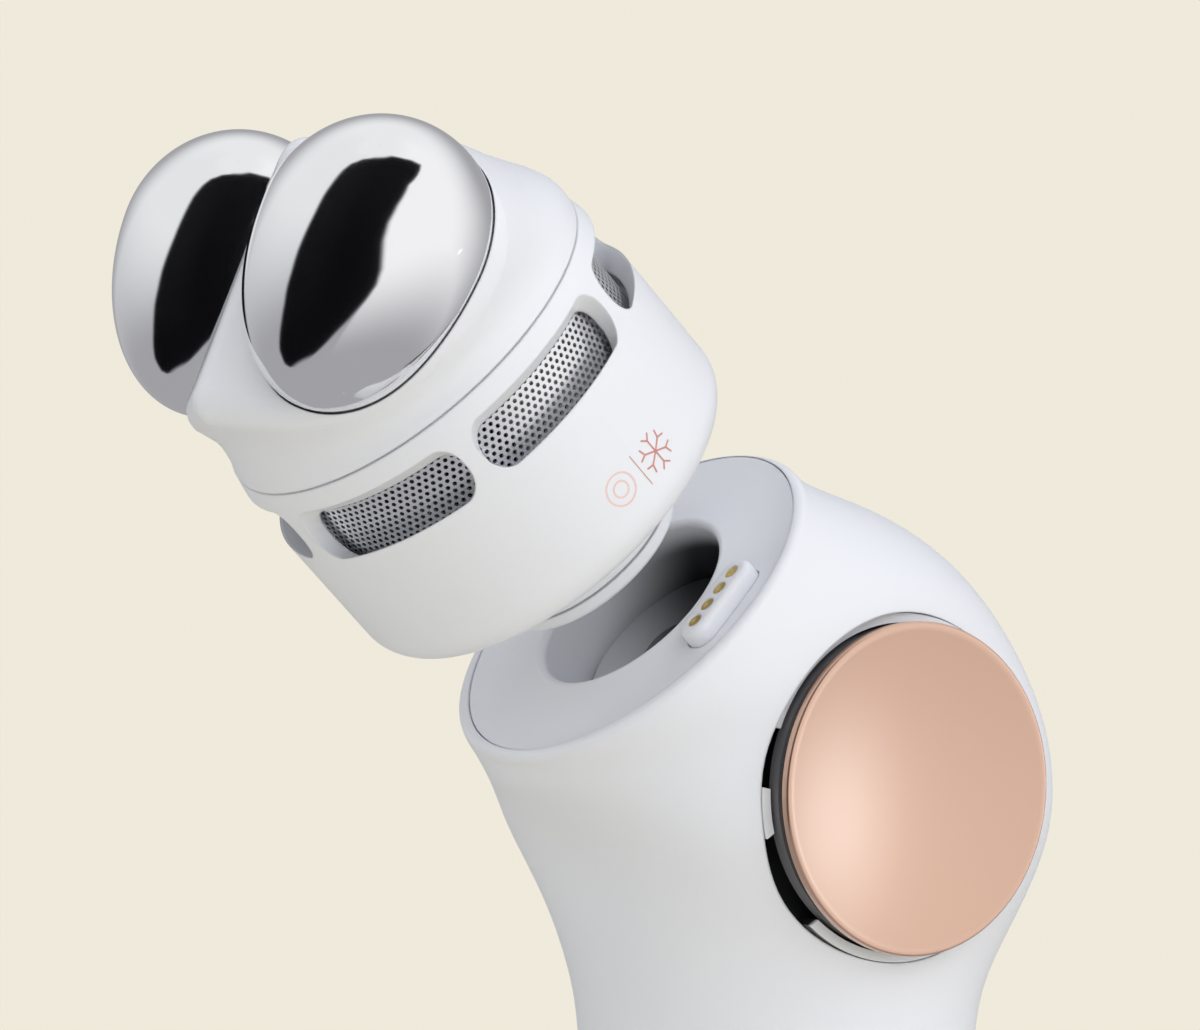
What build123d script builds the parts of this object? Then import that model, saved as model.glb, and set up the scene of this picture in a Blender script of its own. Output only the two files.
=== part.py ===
from build123d import *
from math import cos, pi, radians, sin, tan
import os

# Facial toning device: an upright handle with a bulb at its top, a round socket in the
# bulb that leans to the front, a treatment head that lifts out of the socket, and a large
# round button on one side of the bulb.
# Millimetres. Z is up, -Y is the front (the way the head leans), +X is the button side.
# The origin is the centre of the foot, on the handle's axis. X = 0 is the mirror plane.

os.makedirs("parts", exist_ok=True)

# ---------------------------------------------------------------- driving dimensions
# Handle
socket_height = 125.0       # foot to the centre of the socket face
socket_reach = 21.9         # socket centre in front of the handle's axis
socket_tilt = 46.4          # lean of the socket axis from upright, in degrees
wall = 2.4                  # wall of the handle shell
grip_radius = 22.0          # narrowest part of the handle
grip_height = 35.0          # height of the narrowest part
neck_radius = 23.6          # handle just under the bulb
neck_drop = 56.0            # neck below the socket centre
foot_radius = 22.6          # outer radius at the foot
foot_round = 0.6            # rounding of the foot's lower edge
foot_pad_height = 0.8       # rubber disc under the foot
foot_flange = 1.2           # flange of the base cap under the shell

# Bulb, section by section from the rim down to the neck: reach in front of and behind the
# handle's axis, how far each end lies below the socket centre, half width and squareness
bulge_half = 29.0           # widest section
shoulder_step = 1.1         # half width that the shoulder and the belly lack there
belly_step = 0.7
collar_front = 36.8
collar_front_drop = 20.6
collar_back = 6.4
collar_back_drop = -12.0
collar_half = 26.4
collar_square = 2.15
shoulder_front = 33.9
shoulder_front_drop = 23.6
shoulder_back = 22.6
shoulder_back_drop = -1.0
shoulder_half = bulge_half - shoulder_step
shoulder_square = 2.4
bulge_front = 29.8
bulge_front_drop = 28.0
bulge_back = 29.4
bulge_back_drop = 14.0
bulge_square = 2.8
belly_front = 27.5
belly_front_drop = 32.4
belly_back = 30.9
belly_back_drop = 27.0
belly_half = bulge_half - belly_step
belly_square = 2.7
tuck_front = 26.1
tuck_back = 28.2
tuck_drop = 38.0
tuck_half = 26.0
tuck_square = 2.35
throat_front = 24.4
throat_back = 24.9
throat_drop = 47.0
throat_half = 24.2
throat_square = 2.05

# Socket
rim_radius = 25.0           # outer radius of the socket rim
rim_width = 1.4             # flat ring of the shell around the dish
rim_round = 0.9             # rounding of the rim's outer edge
seam_gap = 0.12             # narrow seam around the dish
dish_skirt = 5.6            # depth of the dish's skirt in the shell
dish_thickness = 2.2
dish_sag = 0.9              # how deep the dish dips between its edge and the bore
bore_radius = 12.6          # central bore of the dish
bore_round = 0.8            # rounding of the bore's edge
bore_wall = 1.6
contact_radius = 17.6       # contacts, measured from the socket axis
contact_pitch = 2.54
contact_count = 4
contact_block_length = 12.0
contact_block_width = 4.4
contact_height = 1.2        # top of the contact block above the rim plane
contact_pad_radius = 0.95
contact_pad_recess = 0.1
contact_pad_height = 3.0
contact_block_flat = 0.6    # straight part of the block's round ends
contact_block_round = 0.8
contact_block_foot = 1.4    # block below the dish
contact_board_side = 0.2    # board outside the block, at its sides and at its ends
contact_board_end = 0.5
contact_board_thickness = 1.0
keeper_side = 1.2           # steel ring inside the bore's wall
keeper_hole = 4.0
keeper_thickness = 1.6
socket_floor_thickness = 1.5

# Button
button_radius = 19.4        # metal disc
button_gap = 1.0            # disc to pocket wall
button_sink = 0.6           # disc edge inside the bulb's widest reach
button_face_x = bulge_half - button_sink
button_drop = 21.6          # disc centre below the socket centre
button_back = -0.9          # disc centre along Y
button_dish = 1.5           # how deep the disc's face is dished
button_plate = 1.0          # thickness of the disc
button_bevel = 0.3
button_travel = 0.9
pocket_depth = 12.0         # the shell's round opening, cut this deep behind the disc's face
carrier_inset = 0.6         # carrier inside the disc's edge
carrier_thickness = 1.7
carrier_hollow = 0.8        # ring-shaped hollow in the carrier's back
carrier_hollow_outer = 17.4
carrier_hollow_inner = 9.0
stem_radius = 2.6
stem_end = 0.6              # stem past the well's floor
well_top = -3.4
well_floor = -8.0
well_floor_thickness = 1.2
well_wall = 1.1
well_notches = [(168, 7.0), (212, 12.0), (12, 7.0), (328, 12.0)]   # azimuth and width
notch_depth = 3.4
well_post_circle = 10.5
well_post_radius = 1.6
well_post_length = 3.2
dome_foot_inner = 4.4
dome_foot_outer = 7.2
dome_foot_thickness = 0.7
dome_waist_inner = 5.4
dome_waist_outer = 6.2
dome_top_inner = 4.2
button_board_radius = 13.2
button_board_thickness = 1.2
switch_size = 6.0
switch_body = 1.4
switch_key_radius = 1.6
switch_key_height = 0.6

# Inside the handle
cap_plug_height = 4.0       # base cap's plug in the shell
chassis_flange = 2.0
chassis_screw_circle = 15.6
plate_front = -5.0          # chassis plate, along Y
plate_back = -3.4
plate_width = 27.0
cell_radius = 9.1
cell_length = 65.0
cell_y = 7.4
cell_rise = 2.0             # cell above the chassis flange
cell_button_radius = 3.0
cell_button_height = 1.0
cradle_wall = 2.0
cradle_depth = 4.0          # cradle past the cell's centre line
main_board_bottom = 22.0
main_board_top = 88.0
main_board_width = 25.0
main_board_thickness = 1.6
standoff_length = 2.0
standoff_radius = 2.2
standoff_margin = 3.0       # standoffs inside the board's edges
# Parts on the main board: place across, height, width, length and thickness
chips = [(0, 38, 10, 10, 1.6), (0, 56, 12, 8, 2.0), (-4, 72, 7, 7, 3.2), (5, 72, 6, 6, 2.4)]
port_y = -11.0
port_width = 8.9
port_height = 3.2
port_length = 7.2
port_flat = 0.1             # straight part of the inlet's round ends
port_wall = 0.3
port_back = 1.0             # closed end of the inlet
port_margin = 1.0           # openings of the pad and chassis around the inlet
tongue_width = 6.7
tongue_height = 0.7
tongue_start = 0.8
charge_board_width = 18.0
charge_board_length = 8.4
charge_board_shift = 0.4
charge_board_thickness = 1.2
foot_pad_inset = 1.0
base_screw_length = 6.6

# Head
head_lift = 15.0            # underside of the head above the socket rim, as it hovers
head_radius = 25.45
head_wall = 2.2
head_corner = 4.2           # rounding of the head's lower edge
seam_height = 29.1          # joint of band and cap above the head's underside
seam_radius = 24.7
seam_line = 0.25            # open line between band and cap
seam_inset = 0.5            # gasket behind the face
band_bow = 0.15             # band drawn in by this much at the windows' tops
band_bow_drop = 1.0
band_tuck = 0.28            # inward run of the band for each millimetre up at the seam
vent_count = 6
vent_bar = 4.8              # bar between two windows, in degrees
vent_back_bar = 18.0        # bar at the back, in degrees
vent_bottom = 19.1
vent_top = 26.6
vent_fall = 42.6            # fall of the windows' roofs and sills towards the inside
vent_corner = 2.5
mesh_radius = 22.7
mesh_thickness = 0.5
cap_wall = 2.6
waist_radius = 24.8
waist_front = 23.5
waist_back = 23.7
waist_rise = 4.4            # waist above the seam
cup_radius = 26.5           # half width where the cap starts to cup the balls
cup_front = 23.5
cup_back = 21.5
cup_rise = 8.0
brim_radius = 27.1          # half width at the height of the ridge's tip
brim_back = 17.8
temple_radius = 26.8
temple_front = 28.2
temple_back = 13.0
temple_rise = 5.5           # above the ridge's tip
crown_radius = 26.0
crown_front = 30.0
crown_back = 6.0
crown_rise = 12.5           # top of the cap's outline above the ridge's tip
front_square = 2.45         # 2 is an ellipse, more is squarer
back_square = 1.85
ridge_front = 26.6          # front tip of the ridge from the head's axis
ridge_rise = 14.4           # front tip of the ridge above the seam
ridge_front_height = seam_height + ridge_rise
ridge_slope = 20.3          # rise of the ridge towards the back, in degrees
ridge_round = 3.0
brim_round = 3.0            # rounding between the roof and the cap's side
roof_slope = 27.0           # fall of the roof to each side of the ridge, in degrees

# Electrodes: two metal eggs
egg_radius = 13.4
egg_half_length = 17.25
egg_shift = 3.0             # widest place behind the egg's middle
egg_side = 14.4             # egg centre from the mirror plane
egg_front = 4.7             # egg centre in front of the head's axis
egg_rise = 15.4             # egg centre above the seam
egg_height = seam_height + egg_rise
egg_pitch = 18.5            # rise of the egg's long axis towards the back, in degrees
egg_yaw = 6.4               # opening of the egg's long axis to the side, in degrees
egg_shell = 1.5
egg_gap = 0.12              # dark gap between egg and cap
egg_cut_rise = 4.9          # open underside of the metal egg above the seam
egg_cut_height = seam_height + egg_cut_rise

# Inside the head
base_thickness = 2.2
ledge_drop = 4.1            # ledge of the sleeve below the windows
ledge_width = 1.2
ledge_thickness = 1.2
ledge_slope = 1.8           # height of the slope under the ledge
mesh_drop = 1.7             # sleeve below the seam
electrode_carrier_thickness = 2.2
carrier_post_circle = 18.0
carrier_post_radius = 1.8
core_radius = 5.5
core_side = 13.5
core_foot = 0.7             # cores below the carrier
peltier_size = 10.0
peltier_height = 3.0
sink_plate = 2.0
sink_margin = 1.2           # sink inside the cap's cavity
fin_margin = 1.0            # fins inside the ledge
fin_drop = 2.0              # fins below the windows
fin_pitch = 3.2
fin_thickness = 0.8
fan_floor = 6.0
fan_floor_thickness = 1.2
fan_fin_gap = 2.2
fan_ring_gap = 0.6
fan_ring_wall = 1.3
fan_arm_width = 4.4
fan_arm_root = 0.5          # arms run this far into the ring
fan_leg_circle = 17.2
fan_leg_radius = 2.2
hub_radius = 6.2
hub_seat = 0.8              # middle of the frame past the hub
hub_roof = 1.2
motor_radius = 5.0
motor_drop = 2.6            # motor below the fan's top
rotor_drop = 0.6            # rotor below the fan's top
shaft_radius = 1.0
blade_count = 7
blade_width = 6.4
blade_thickness = 0.9
blade_angle = 40.0
blade_root = 0.4            # blades run this far into the hub
blade_gap = 0.7
boss_circle = 11.0
boss_radius = 2.0
boss_height = 1.0
head_board_radius = 13.4
head_board_thickness = 1.2
head_screw_length = 5.4
pin_radius = 0.7
pin_travel = 0.5
pin_reach = 0.2             # pins past the contacts when the head is all the way down
pin_clearance = 0.05
pin_block_height = 2.6
pin_block_ledge = 1.2
pin_block_end = 1.5         # block past the row of pins
base_notch_gap = 0.5        # notch of the head's base around the contact block

# Plug under the head
plug_radius = 12.1
plug_length = 5.6
plug_line = 0.3
tip_length = 1.9
tip_round = 1.0
tip_neck_inset = 0.8
magnet_radius = 9.0
magnet_hole = 4.0
magnet_gap = 0.2
collar_roof = 1.4

# Small fits
cut_past = 2.0              # how far a cut runs past the face that it starts from
round_square = 2.0          # squareness of a plain ellipse or circle
pole_flat = 0.2             # tiny flat at the poles of turned eggs and domes
ellipse_handle = 0.5523     # handle of the curve that draws a quarter of an ellipse
snug = 0.1                  # clearance of pieces that sit in each other
running = 0.3               # clearance of faces that move past each other
screw_radius = 1.0
screw_head_radius = 1.9
screw_head_height = 1.2
screw_seat = 0.2            # screw heads below the face around them

# ---------------------------------------------------------------- frames
lean = radians(socket_tilt)
socket_axis = Vector(0, -sin(lean), cos(lean))
socket_up = Vector(0, cos(lean), sin(lean))
socket_centre = Vector(0, -socket_reach, socket_height)
socket = Plane(origin=socket_centre, x_dir=(1, 0, 0), z_dir=socket_axis)
head = socket.offset(head_lift)
button = Plane(
    origin=(button_face_x, button_back, socket_height - button_drop),
    x_dir=(0, 1, 0),
    z_dir=(1, 0, 0),
)
dish_radius = rim_radius - rim_width
pocket_radius = button_radius + button_gap
shell_bottom = foot_pad_height + foot_flange


# ---------------------------------------------------------------- shared shapes
def axis_of(frame):
    """The centre line of a frame."""
    return Axis(frame.origin, frame.z_dir)


def side_plane(frame, azimuth=0):
    """Plane through a frame's centre line: x runs outward, y along the line."""
    angle = radians(azimuth)
    outward = frame.x_dir * cos(angle) + frame.y_dir * sin(angle)
    return Plane(origin=frame.origin, x_dir=outward, z_dir=outward.cross(frame.z_dir))


def polygon(plane, *points):
    """Closed polygon on a plane."""
    with BuildSketch(plane) as outline:
        with BuildLine():
            Polyline(*points, close=True)
        make_face()
    return outline.sketch


def turn(frame, *points, mode=Mode.ADD):
    """Turns a profile of (radius, height) points about a frame's centre line."""
    revolve(polygon(side_plane(frame), *points), axis=axis_of(frame), mode=mode)


def tube(frame, bottom, top, outer, inner=0.0, at=(0, 0), mode=Mode.ADD):
    """Round bar or tube along a frame's z, between two heights."""
    with BuildSketch(frame.offset(bottom)) as flat:
        with Locations(at):
            Circle(outer)
            if inner > 0:
                Circle(inner, mode=Mode.SUBTRACT)
    extrude(flat.sketch, amount=top - bottom, mode=mode)


def block(frame, bottom, top, size_x, size_y, at=(0, 0), corner=0.0, mode=Mode.ADD):
    """Rectangular block along a frame's z, between two heights."""
    with BuildSketch(frame.offset(bottom)) as flat:
        with Locations(at):
            if corner > 0:
                RectangleRounded(size_x, size_y, corner)
            else:
                Rectangle(size_x, size_y)
    extrude(flat.sketch, amount=top - bottom, mode=mode)


def ovoid(frame, radius, low_half, high_half, widest=0.0, mode=Mode.ADD):
    """Turned solid with half an ellipse below its widest place and half of one above."""
    lowest = (pole_flat, widest - low_half)
    highest = (pole_flat, widest + high_half)
    side_point = (radius, widest)
    with BuildSketch(side_plane(frame)) as outline:
        with BuildLine():
            Bezier(
                lowest,
                (radius * ellipse_handle, lowest[1]),
                (radius, widest - low_half * ellipse_handle),
                side_point,
            )
            Bezier(
                side_point,
                (radius, widest + high_half * ellipse_handle),
                (radius * ellipse_handle, highest[1]),
                highest,
            )
            Polyline(highest, (0, highest[1]), (0, lowest[1]), lowest)
        make_face()
    revolve(outline.sketch, axis=axis_of(frame), mode=mode)


def screw(frame, head_top, length, at):
    """Countersunk screw whose head ends at head_top and whose tip points along +z."""
    shank_start = head_top + screw_head_height
    tube(frame, head_top, shank_start, screw_head_radius, at=at)
    tube(frame, shank_start, head_top + length, screw_radius, at=at)


def save(piece, name):
    """Labels a finished piece and writes it."""
    piece.part.label = name
    export_step(piece.part, f"parts/{name}.step")


# ---------------------------------------------------------------- handle body
def superellipse(half_x, half_y, squareness, count=24):
    """Points around a rounded outline: 2 is an ellipse, more is squarer."""
    power = 2 / squareness
    points = []
    for step in range(count):
        angle = 2 * pi * step / count
        x = abs(cos(angle)) ** power * half_x * (1 if cos(angle) >= 0 else -1)
        y = abs(sin(angle)) ** power * half_y * (1 if sin(angle) >= 0 else -1)
        points.append((x, y))
    return points


def body_section(front, back, half_width, squareness, inset):
    """Cross-section of the body in the plane through a front and a back point (Y, Z)."""
    front_point = Vector(0, *front)
    back_point = Vector(0, *back)
    across = back_point - front_point
    plane = Plane(
        origin=(front_point + back_point) * 0.5,
        x_dir=(1, 0, 0),
        z_dir=Vector(1, 0, 0).cross(across),
    )
    half_depth = across.length / 2 - inset
    with BuildSketch(plane) as outline:
        with BuildLine():
            Spline(*superellipse(half_width - inset, half_depth, squareness), periodic=True)
        make_face()
    return outline.sketch


def below_socket(y, drop):
    """Point of the side outline, given by its distance under the socket centre."""
    return (y, socket_height - drop)


rim_front = socket_centre - socket_up * rim_radius
rim_back = socket_centre + socket_up * rim_radius

# Stations from the rim down to the neck: front point, back point, half width, squareness.
body_stations = [
    ((rim_front.Y, rim_front.Z), (rim_back.Y, rim_back.Z), rim_radius, round_square),
    (
        below_socket(-collar_front, collar_front_drop),
        below_socket(collar_back, collar_back_drop),
        collar_half,
        collar_square,
    ),
    (
        below_socket(-shoulder_front, shoulder_front_drop),
        below_socket(shoulder_back, shoulder_back_drop),
        shoulder_half,
        shoulder_square,
    ),
    (
        below_socket(-bulge_front, bulge_front_drop),
        below_socket(bulge_back, bulge_back_drop),
        bulge_half,
        bulge_square,
    ),
    (
        below_socket(-belly_front, belly_front_drop),
        below_socket(belly_back, belly_back_drop),
        belly_half,
        belly_square,
    ),
    (
        below_socket(-tuck_front, tuck_drop),
        below_socket(tuck_back, tuck_drop),
        tuck_half,
        tuck_square,
    ),
    (
        below_socket(-throat_front, throat_drop),
        below_socket(throat_back, throat_drop),
        throat_half,
        throat_square,
    ),
]
neck_height = socket_height - neck_drop
grip_steps = 6


def grip_at(height):
    """Radius of the round grip at a height: a parabola through neck, waist and foot."""
    known = [(neck_height, neck_radius), (grip_height, grip_radius), (shell_bottom, foot_radius)]
    total = 0.0
    for own_height, own_radius in known:
        share = own_radius
        for other_height, _ in known:
            if other_height != own_height:
                share *= (height - other_height) / (own_height - other_height)
        total += share
    return total


for step in range(grip_steps + 1):
    station_height = neck_height + (shell_bottom - neck_height) * step / grip_steps
    station_radius = grip_at(station_height)
    body_stations.append(
        (
            (-station_radius, station_height),
            (station_radius, station_height),
            station_radius,
            round_square,
        )
    )


def body(inset, mode=Mode.ADD):
    """Solid outline of the whole handle, moved inwards by a distance."""
    loft([body_section(*station, inset) for station in body_stations], mode=mode)


def inside_radius(height):
    """Radius of a round piece that just fits inside the grip at a height."""
    return grip_at(height) - wall - snug


with BuildPart() as handle_shell:
    body(0.0)
    rim_edge = handle_shell.faces().sort_by(axis_of(socket))[-1].edges()
    fillet(rim_edge, rim_round)
    body(wall, mode=Mode.SUBTRACT)
    tube(socket, -dish_skirt - seam_gap, cut_past, dish_radius, mode=Mode.SUBTRACT)
    tube(button, -pocket_depth, pocket_depth, pocket_radius, mode=Mode.SUBTRACT)
save(handle_shell, "handle_shell")

# ---------------------------------------------------------------- socket
plug_reach = plug_length + plug_line + tip_length
bore_depth = plug_reach + keeper_thickness + running      # rim plane to the bore's floor
dish_outer = dish_radius - seam_gap
bore_outer = bore_radius + bore_wall
lip_radius = bore_radius + bore_round
block_corner = (contact_block_width - contact_block_flat) / 2

with BuildPart() as socket_dish:
    with BuildSketch(side_plane(socket)) as dish_profile:
        with BuildLine():
            outer_top = (dish_outer, -seam_gap)
            lip = (lip_radius, -seam_gap)
            throat = (bore_radius, -seam_gap - bore_round)
            quarter = bore_round * (1 - sin(pi / 4))
            under = -dish_sag - dish_thickness
            ThreePointArc(outer_top, ((dish_outer + lip_radius) / 2, -dish_sag - seam_gap), lip)
            ThreePointArc(lip, (bore_radius + quarter, -seam_gap - quarter), throat)
            Polyline(
                throat,
                (bore_radius, -bore_depth),
                (bore_outer, -bore_depth),
                (bore_outer, under),
                (dish_outer - dish_thickness, under),
                (dish_outer - dish_thickness, -dish_skirt),
                (dish_outer, -dish_skirt),
                outer_top,
            )
        make_face()
    revolve(axis=axis_of(socket))
    block(
        socket,
        -dish_skirt,
        cut_past,
        contact_block_width + 2 * snug,
        contact_block_length + 2 * snug,
        at=(contact_radius, 0),
        corner=block_corner,
        mode=Mode.SUBTRACT,
    )
save(socket_dish, "socket_dish")

contact_block_bottom = -dish_sag - dish_thickness - contact_block_foot
pad_bottom = contact_height - contact_pad_height
contact_places = [
    (contact_radius, (index - (contact_count - 1) / 2) * contact_pitch)
    for index in range(contact_count)
]

with BuildPart() as contact_block:
    block(
        socket,
        contact_block_bottom,
        contact_height,
        contact_block_width,
        contact_block_length,
        at=(contact_radius, 0),
        corner=block_corner,
    )
    top_edges = contact_block.faces().sort_by(axis_of(socket))[-1].edges()
    fillet(top_edges, contact_block_round)
    for place in contact_places:
        tube(
            socket,
            pad_bottom,
            contact_height,
            contact_pad_radius,
            at=place,
            mode=Mode.SUBTRACT,
        )
save(contact_block, "contact_block")

with BuildPart() as contact_pads:
    for place in contact_places:
        tube(
            socket,
            pad_bottom,
            contact_height - contact_pad_recess,
            contact_pad_radius,
            at=place,
        )
save(contact_pads, "contact_pads")

with BuildPart() as contact_board:
    block(
        socket,
        contact_block_bottom - contact_board_thickness,
        contact_block_bottom,
        contact_block_width + 2 * contact_board_side,
        contact_block_length + 2 * contact_board_end,
        at=(contact_radius, 0),
    )
save(contact_board, "contact_board")

socket_floor_bottom = -bore_depth - socket_floor_thickness
with BuildPart() as socket_floor:
    tube(socket, socket_floor_bottom, -bore_depth, bore_outer)
save(socket_floor, "socket_floor")

with BuildPart() as socket_keeper:
    keeper_radius = bore_radius - keeper_side
    tube(socket, -bore_depth, -bore_depth + keeper_thickness, keeper_radius, keeper_hole)
save(socket_keeper, "socket_keeper")

# ---------------------------------------------------------------- button
disc_back = -button_plate                                 # back of the disc at its edge
carrier_top = -button_dish - button_plate
carrier_radius = button_radius - carrier_inset
carrier_bottom = carrier_top - carrier_thickness
well_radius = pocket_radius - snug
well_bottom = well_floor - well_floor_thickness
board_top = well_bottom - well_post_length

with BuildPart() as button_disc:
    with BuildSketch(side_plane(button)) as disc_profile:
        with BuildLine():
            centre = (0, -button_dish)
            edge = (button_radius - button_bevel, 0)
            under_centre = (0, -button_dish - button_plate)
            under_edge = (button_radius - button_bevel, disc_back - button_bevel)
            TangentArc(centre, edge, tangent=(1, 0))
            Polyline(edge, (button_radius, -button_bevel), (button_radius, disc_back), under_edge)
            TangentArc(under_centre, under_edge, tangent=(1, 0))
            Line(under_centre, centre)
        make_face()
    revolve(axis=axis_of(button))
save(button_disc, "button_disc")

with BuildPart() as button_carrier:
    tube(button, carrier_bottom, carrier_top, carrier_radius)
    tube(
        button,
        carrier_bottom,
        carrier_bottom + carrier_hollow,
        carrier_hollow_outer,
        carrier_hollow_inner,
        mode=Mode.SUBTRACT,
    )
    tube(button, well_floor - stem_end, carrier_bottom, stem_radius)
save(button_carrier, "button_carrier")

with BuildPart() as button_well:
    tube(button, well_bottom, well_floor, well_radius)
    tube(button, well_floor, well_top, well_radius, well_radius - well_wall)
    tube(
        button,
        well_bottom,
        well_floor,
        stem_radius + running,
        mode=Mode.SUBTRACT,
    )
    for azimuth, width in well_notches:
        notch = Plane(
            origin=button.origin,
            x_dir=(1, 0, 0),
            z_dir=Vector(0, cos(radians(azimuth)), sin(radians(azimuth))),
        )
        block(
            notch,
            well_radius - 2 * well_wall,
            well_radius + well_wall,
            notch_depth,
            width,
            at=(well_top - notch_depth / 2, 0),
            mode=Mode.SUBTRACT,
        )
    for azimuth in (45, 135, 225, 315):
        post = (
            well_post_circle * cos(radians(azimuth)),
            well_post_circle * sin(radians(azimuth)),
        )
        tube(button, board_top, well_bottom, well_post_radius, at=post)
save(button_well, "button_well")

with BuildPart() as button_dome:
    turn(
        button,
        (dome_foot_inner, well_floor),
        (dome_foot_outer, well_floor),
        (dome_foot_outer, well_floor + dome_foot_thickness),
        (dome_waist_outer, carrier_bottom),
        (dome_top_inner, carrier_bottom),
        (dome_top_inner, carrier_bottom - dome_foot_thickness),
        (dome_waist_inner, carrier_bottom - dome_foot_thickness),
        (dome_waist_outer, well_floor + dome_foot_thickness),
        (dome_foot_inner, well_floor + dome_foot_thickness),
    )
save(button_dome, "button_dome")

with BuildPart() as button_board:
    tube(button, board_top - button_board_thickness, board_top, button_board_radius)
save(button_board, "button_board")

with BuildPart() as button_switch:
    switch_top = board_top + switch_body
    block(button, board_top, switch_top, switch_size, switch_size)
    tube(button, switch_top, switch_top + switch_key_height, switch_key_radius)
save(button_switch, "button_switch")

# ---------------------------------------------------------------- inside the handle
foot = Plane.XY
cap_plug_top = shell_bottom + cap_plug_height
flange_top = cap_plug_top + chassis_flange
cap_plug_radius = inside_radius(cap_plug_top)
flange_radius = inside_radius(flange_top)
cell_bottom = flange_top + cell_rise
cell_top = cell_bottom + cell_length
port_bottom = foot_pad_height
tongue_bottom = port_bottom + tongue_start
port_floor = port_bottom + port_length - port_back
chassis_screws_at = [
    (chassis_screw_circle * cos(radians(angle)), chassis_screw_circle * sin(radians(angle)))
    for angle in (20, 90, 160)
]

with BuildPart() as base_cap:
    tube(foot, foot_pad_height, shell_bottom, foot_radius)
    tube(foot, shell_bottom, cap_plug_top, cap_plug_radius)
    block(
        foot,
        foot_pad_height,
        cap_plug_top,
        port_width + 2 * snug,
        port_height + 2 * snug,
        at=(0, port_y),
        corner=port_height / 2,
        mode=Mode.SUBTRACT,
    )
    for place in chassis_screws_at:
        tube(foot, foot_pad_height, cap_plug_top, screw_radius + snug, at=place, mode=Mode.SUBTRACT)
        tube(
            foot,
            foot_pad_height,
            foot_pad_height + screw_head_height + screw_seat,
            screw_head_radius + snug,
            at=place,
            mode=Mode.SUBTRACT,
        )
    lower_edge = base_cap.faces().sort_by(Axis.Z)[0].outer_wire().edges()
    fillet(lower_edge, foot_round)
save(base_cap, "base_cap")

with BuildPart() as foot_pad:
    tube(foot, 0, foot_pad_height, foot_radius - foot_pad_inset)
    block(
        foot,
        0,
        foot_pad_height,
        port_width + 2 * port_margin,
        port_height + 2 * port_margin,
        at=(0, port_y),
        corner=port_height / 2,
        mode=Mode.SUBTRACT,
    )
save(foot_pad, "foot_pad")

with BuildPart() as base_screws:
    for place in chassis_screws_at:
        screw(foot, foot_pad_height + screw_seat, base_screw_length, at=place)
save(base_screws, "base_screws")

with BuildPart() as chassis:
    tube(foot, cap_plug_top, flange_top, flange_radius)
    block(
        foot,
        cap_plug_top,
        flange_top,
        port_width + 2 * port_margin,
        port_height + 2 * port_margin,
        at=(0, port_y),
        mode=Mode.SUBTRACT,
    )
    for place in chassis_screws_at:
        tube(foot, cap_plug_top, flange_top, screw_radius, at=place, mode=Mode.SUBTRACT)
    block(
        foot,
        flange_top,
        socket_height,
        plate_width,
        plate_back - plate_front,
        at=(0, (plate_back + plate_front) / 2),
    )
    tube(socket, socket_floor_bottom, 2 * bore_depth, 3 * rim_radius, mode=Mode.SUBTRACT)
save(chassis, "chassis")

with BuildPart() as battery_cradle:
    cradle_back = cell_y + cradle_depth
    block(
        foot,
        flange_top,
        cell_top + cradle_wall,
        2 * (cell_radius + cradle_wall),
        cradle_back - plate_back,
        at=(0, (cradle_back + plate_back) / 2),
    )
    tube(
        foot,
        cell_bottom,
        cell_top + snug,
        cell_radius + snug,
        at=(0, cell_y),
        mode=Mode.SUBTRACT,
    )
save(battery_cradle, "battery_cradle")

with BuildPart() as battery_cell:
    cell_shoulder = cell_top - cell_button_height
    tube(foot, cell_bottom, cell_shoulder, cell_radius, at=(0, cell_y))
    tube(foot, cell_shoulder, cell_top, cell_button_radius, at=(0, cell_y))
save(battery_cell, "battery_cell")

board = Plane(
    origin=(0, plate_front - standoff_length, 0),
    x_dir=(1, 0, 0),
    z_dir=(0, -1, 0),
)
standoff_places = [
    (side * (main_board_width / 2 - standoff_margin), height)
    for side in (-1, 1)
    for height in (main_board_bottom + standoff_margin, main_board_top - standoff_margin)
]

with BuildPart() as board_standoffs:
    for place in standoff_places:
        tube(board, -standoff_length, 0, standoff_radius, at=place)
save(board_standoffs, "board_standoffs")

with BuildPart() as main_board:
    block(
        board,
        0,
        main_board_thickness,
        main_board_width,
        main_board_top - main_board_bottom,
        at=(0, (main_board_top + main_board_bottom) / 2),
    )
save(main_board, "main_board")

with BuildPart() as board_screws:
    for place in standoff_places:
        screw_top = main_board_thickness + screw_head_height
        tube(board, main_board_thickness, screw_top, screw_head_radius, at=place)
save(board_screws, "board_screws")

with BuildPart() as board_chips:
    for x, height, width, length, thickness in chips:
        block(
            board,
            main_board_thickness,
            main_board_thickness + thickness,
            width,
            length,
            at=(x, height),
        )
save(board_chips, "board_chips")

with BuildPart() as charge_port:
    block(
        foot,
        port_bottom,
        port_bottom + port_length,
        port_width,
        port_height,
        at=(0, port_y),
        corner=(port_height - port_flat) / 2,
    )
    block(
        foot,
        port_bottom,
        port_floor,
        port_width - 2 * port_wall,
        port_height - 2 * port_wall,
        at=(0, port_y),
        corner=(port_height - port_flat) / 2 - port_wall,
        mode=Mode.SUBTRACT,
    )
    block(foot, tongue_bottom, port_floor, tongue_width, tongue_height, at=(0, port_y))
save(charge_port, "charge_port")

with BuildPart() as charge_board:
    block(
        foot,
        flange_top,
        flange_top + charge_board_thickness,
        charge_board_width,
        charge_board_length,
        at=(0, port_y + charge_board_shift),
    )
save(charge_board, "charge_board")

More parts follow.
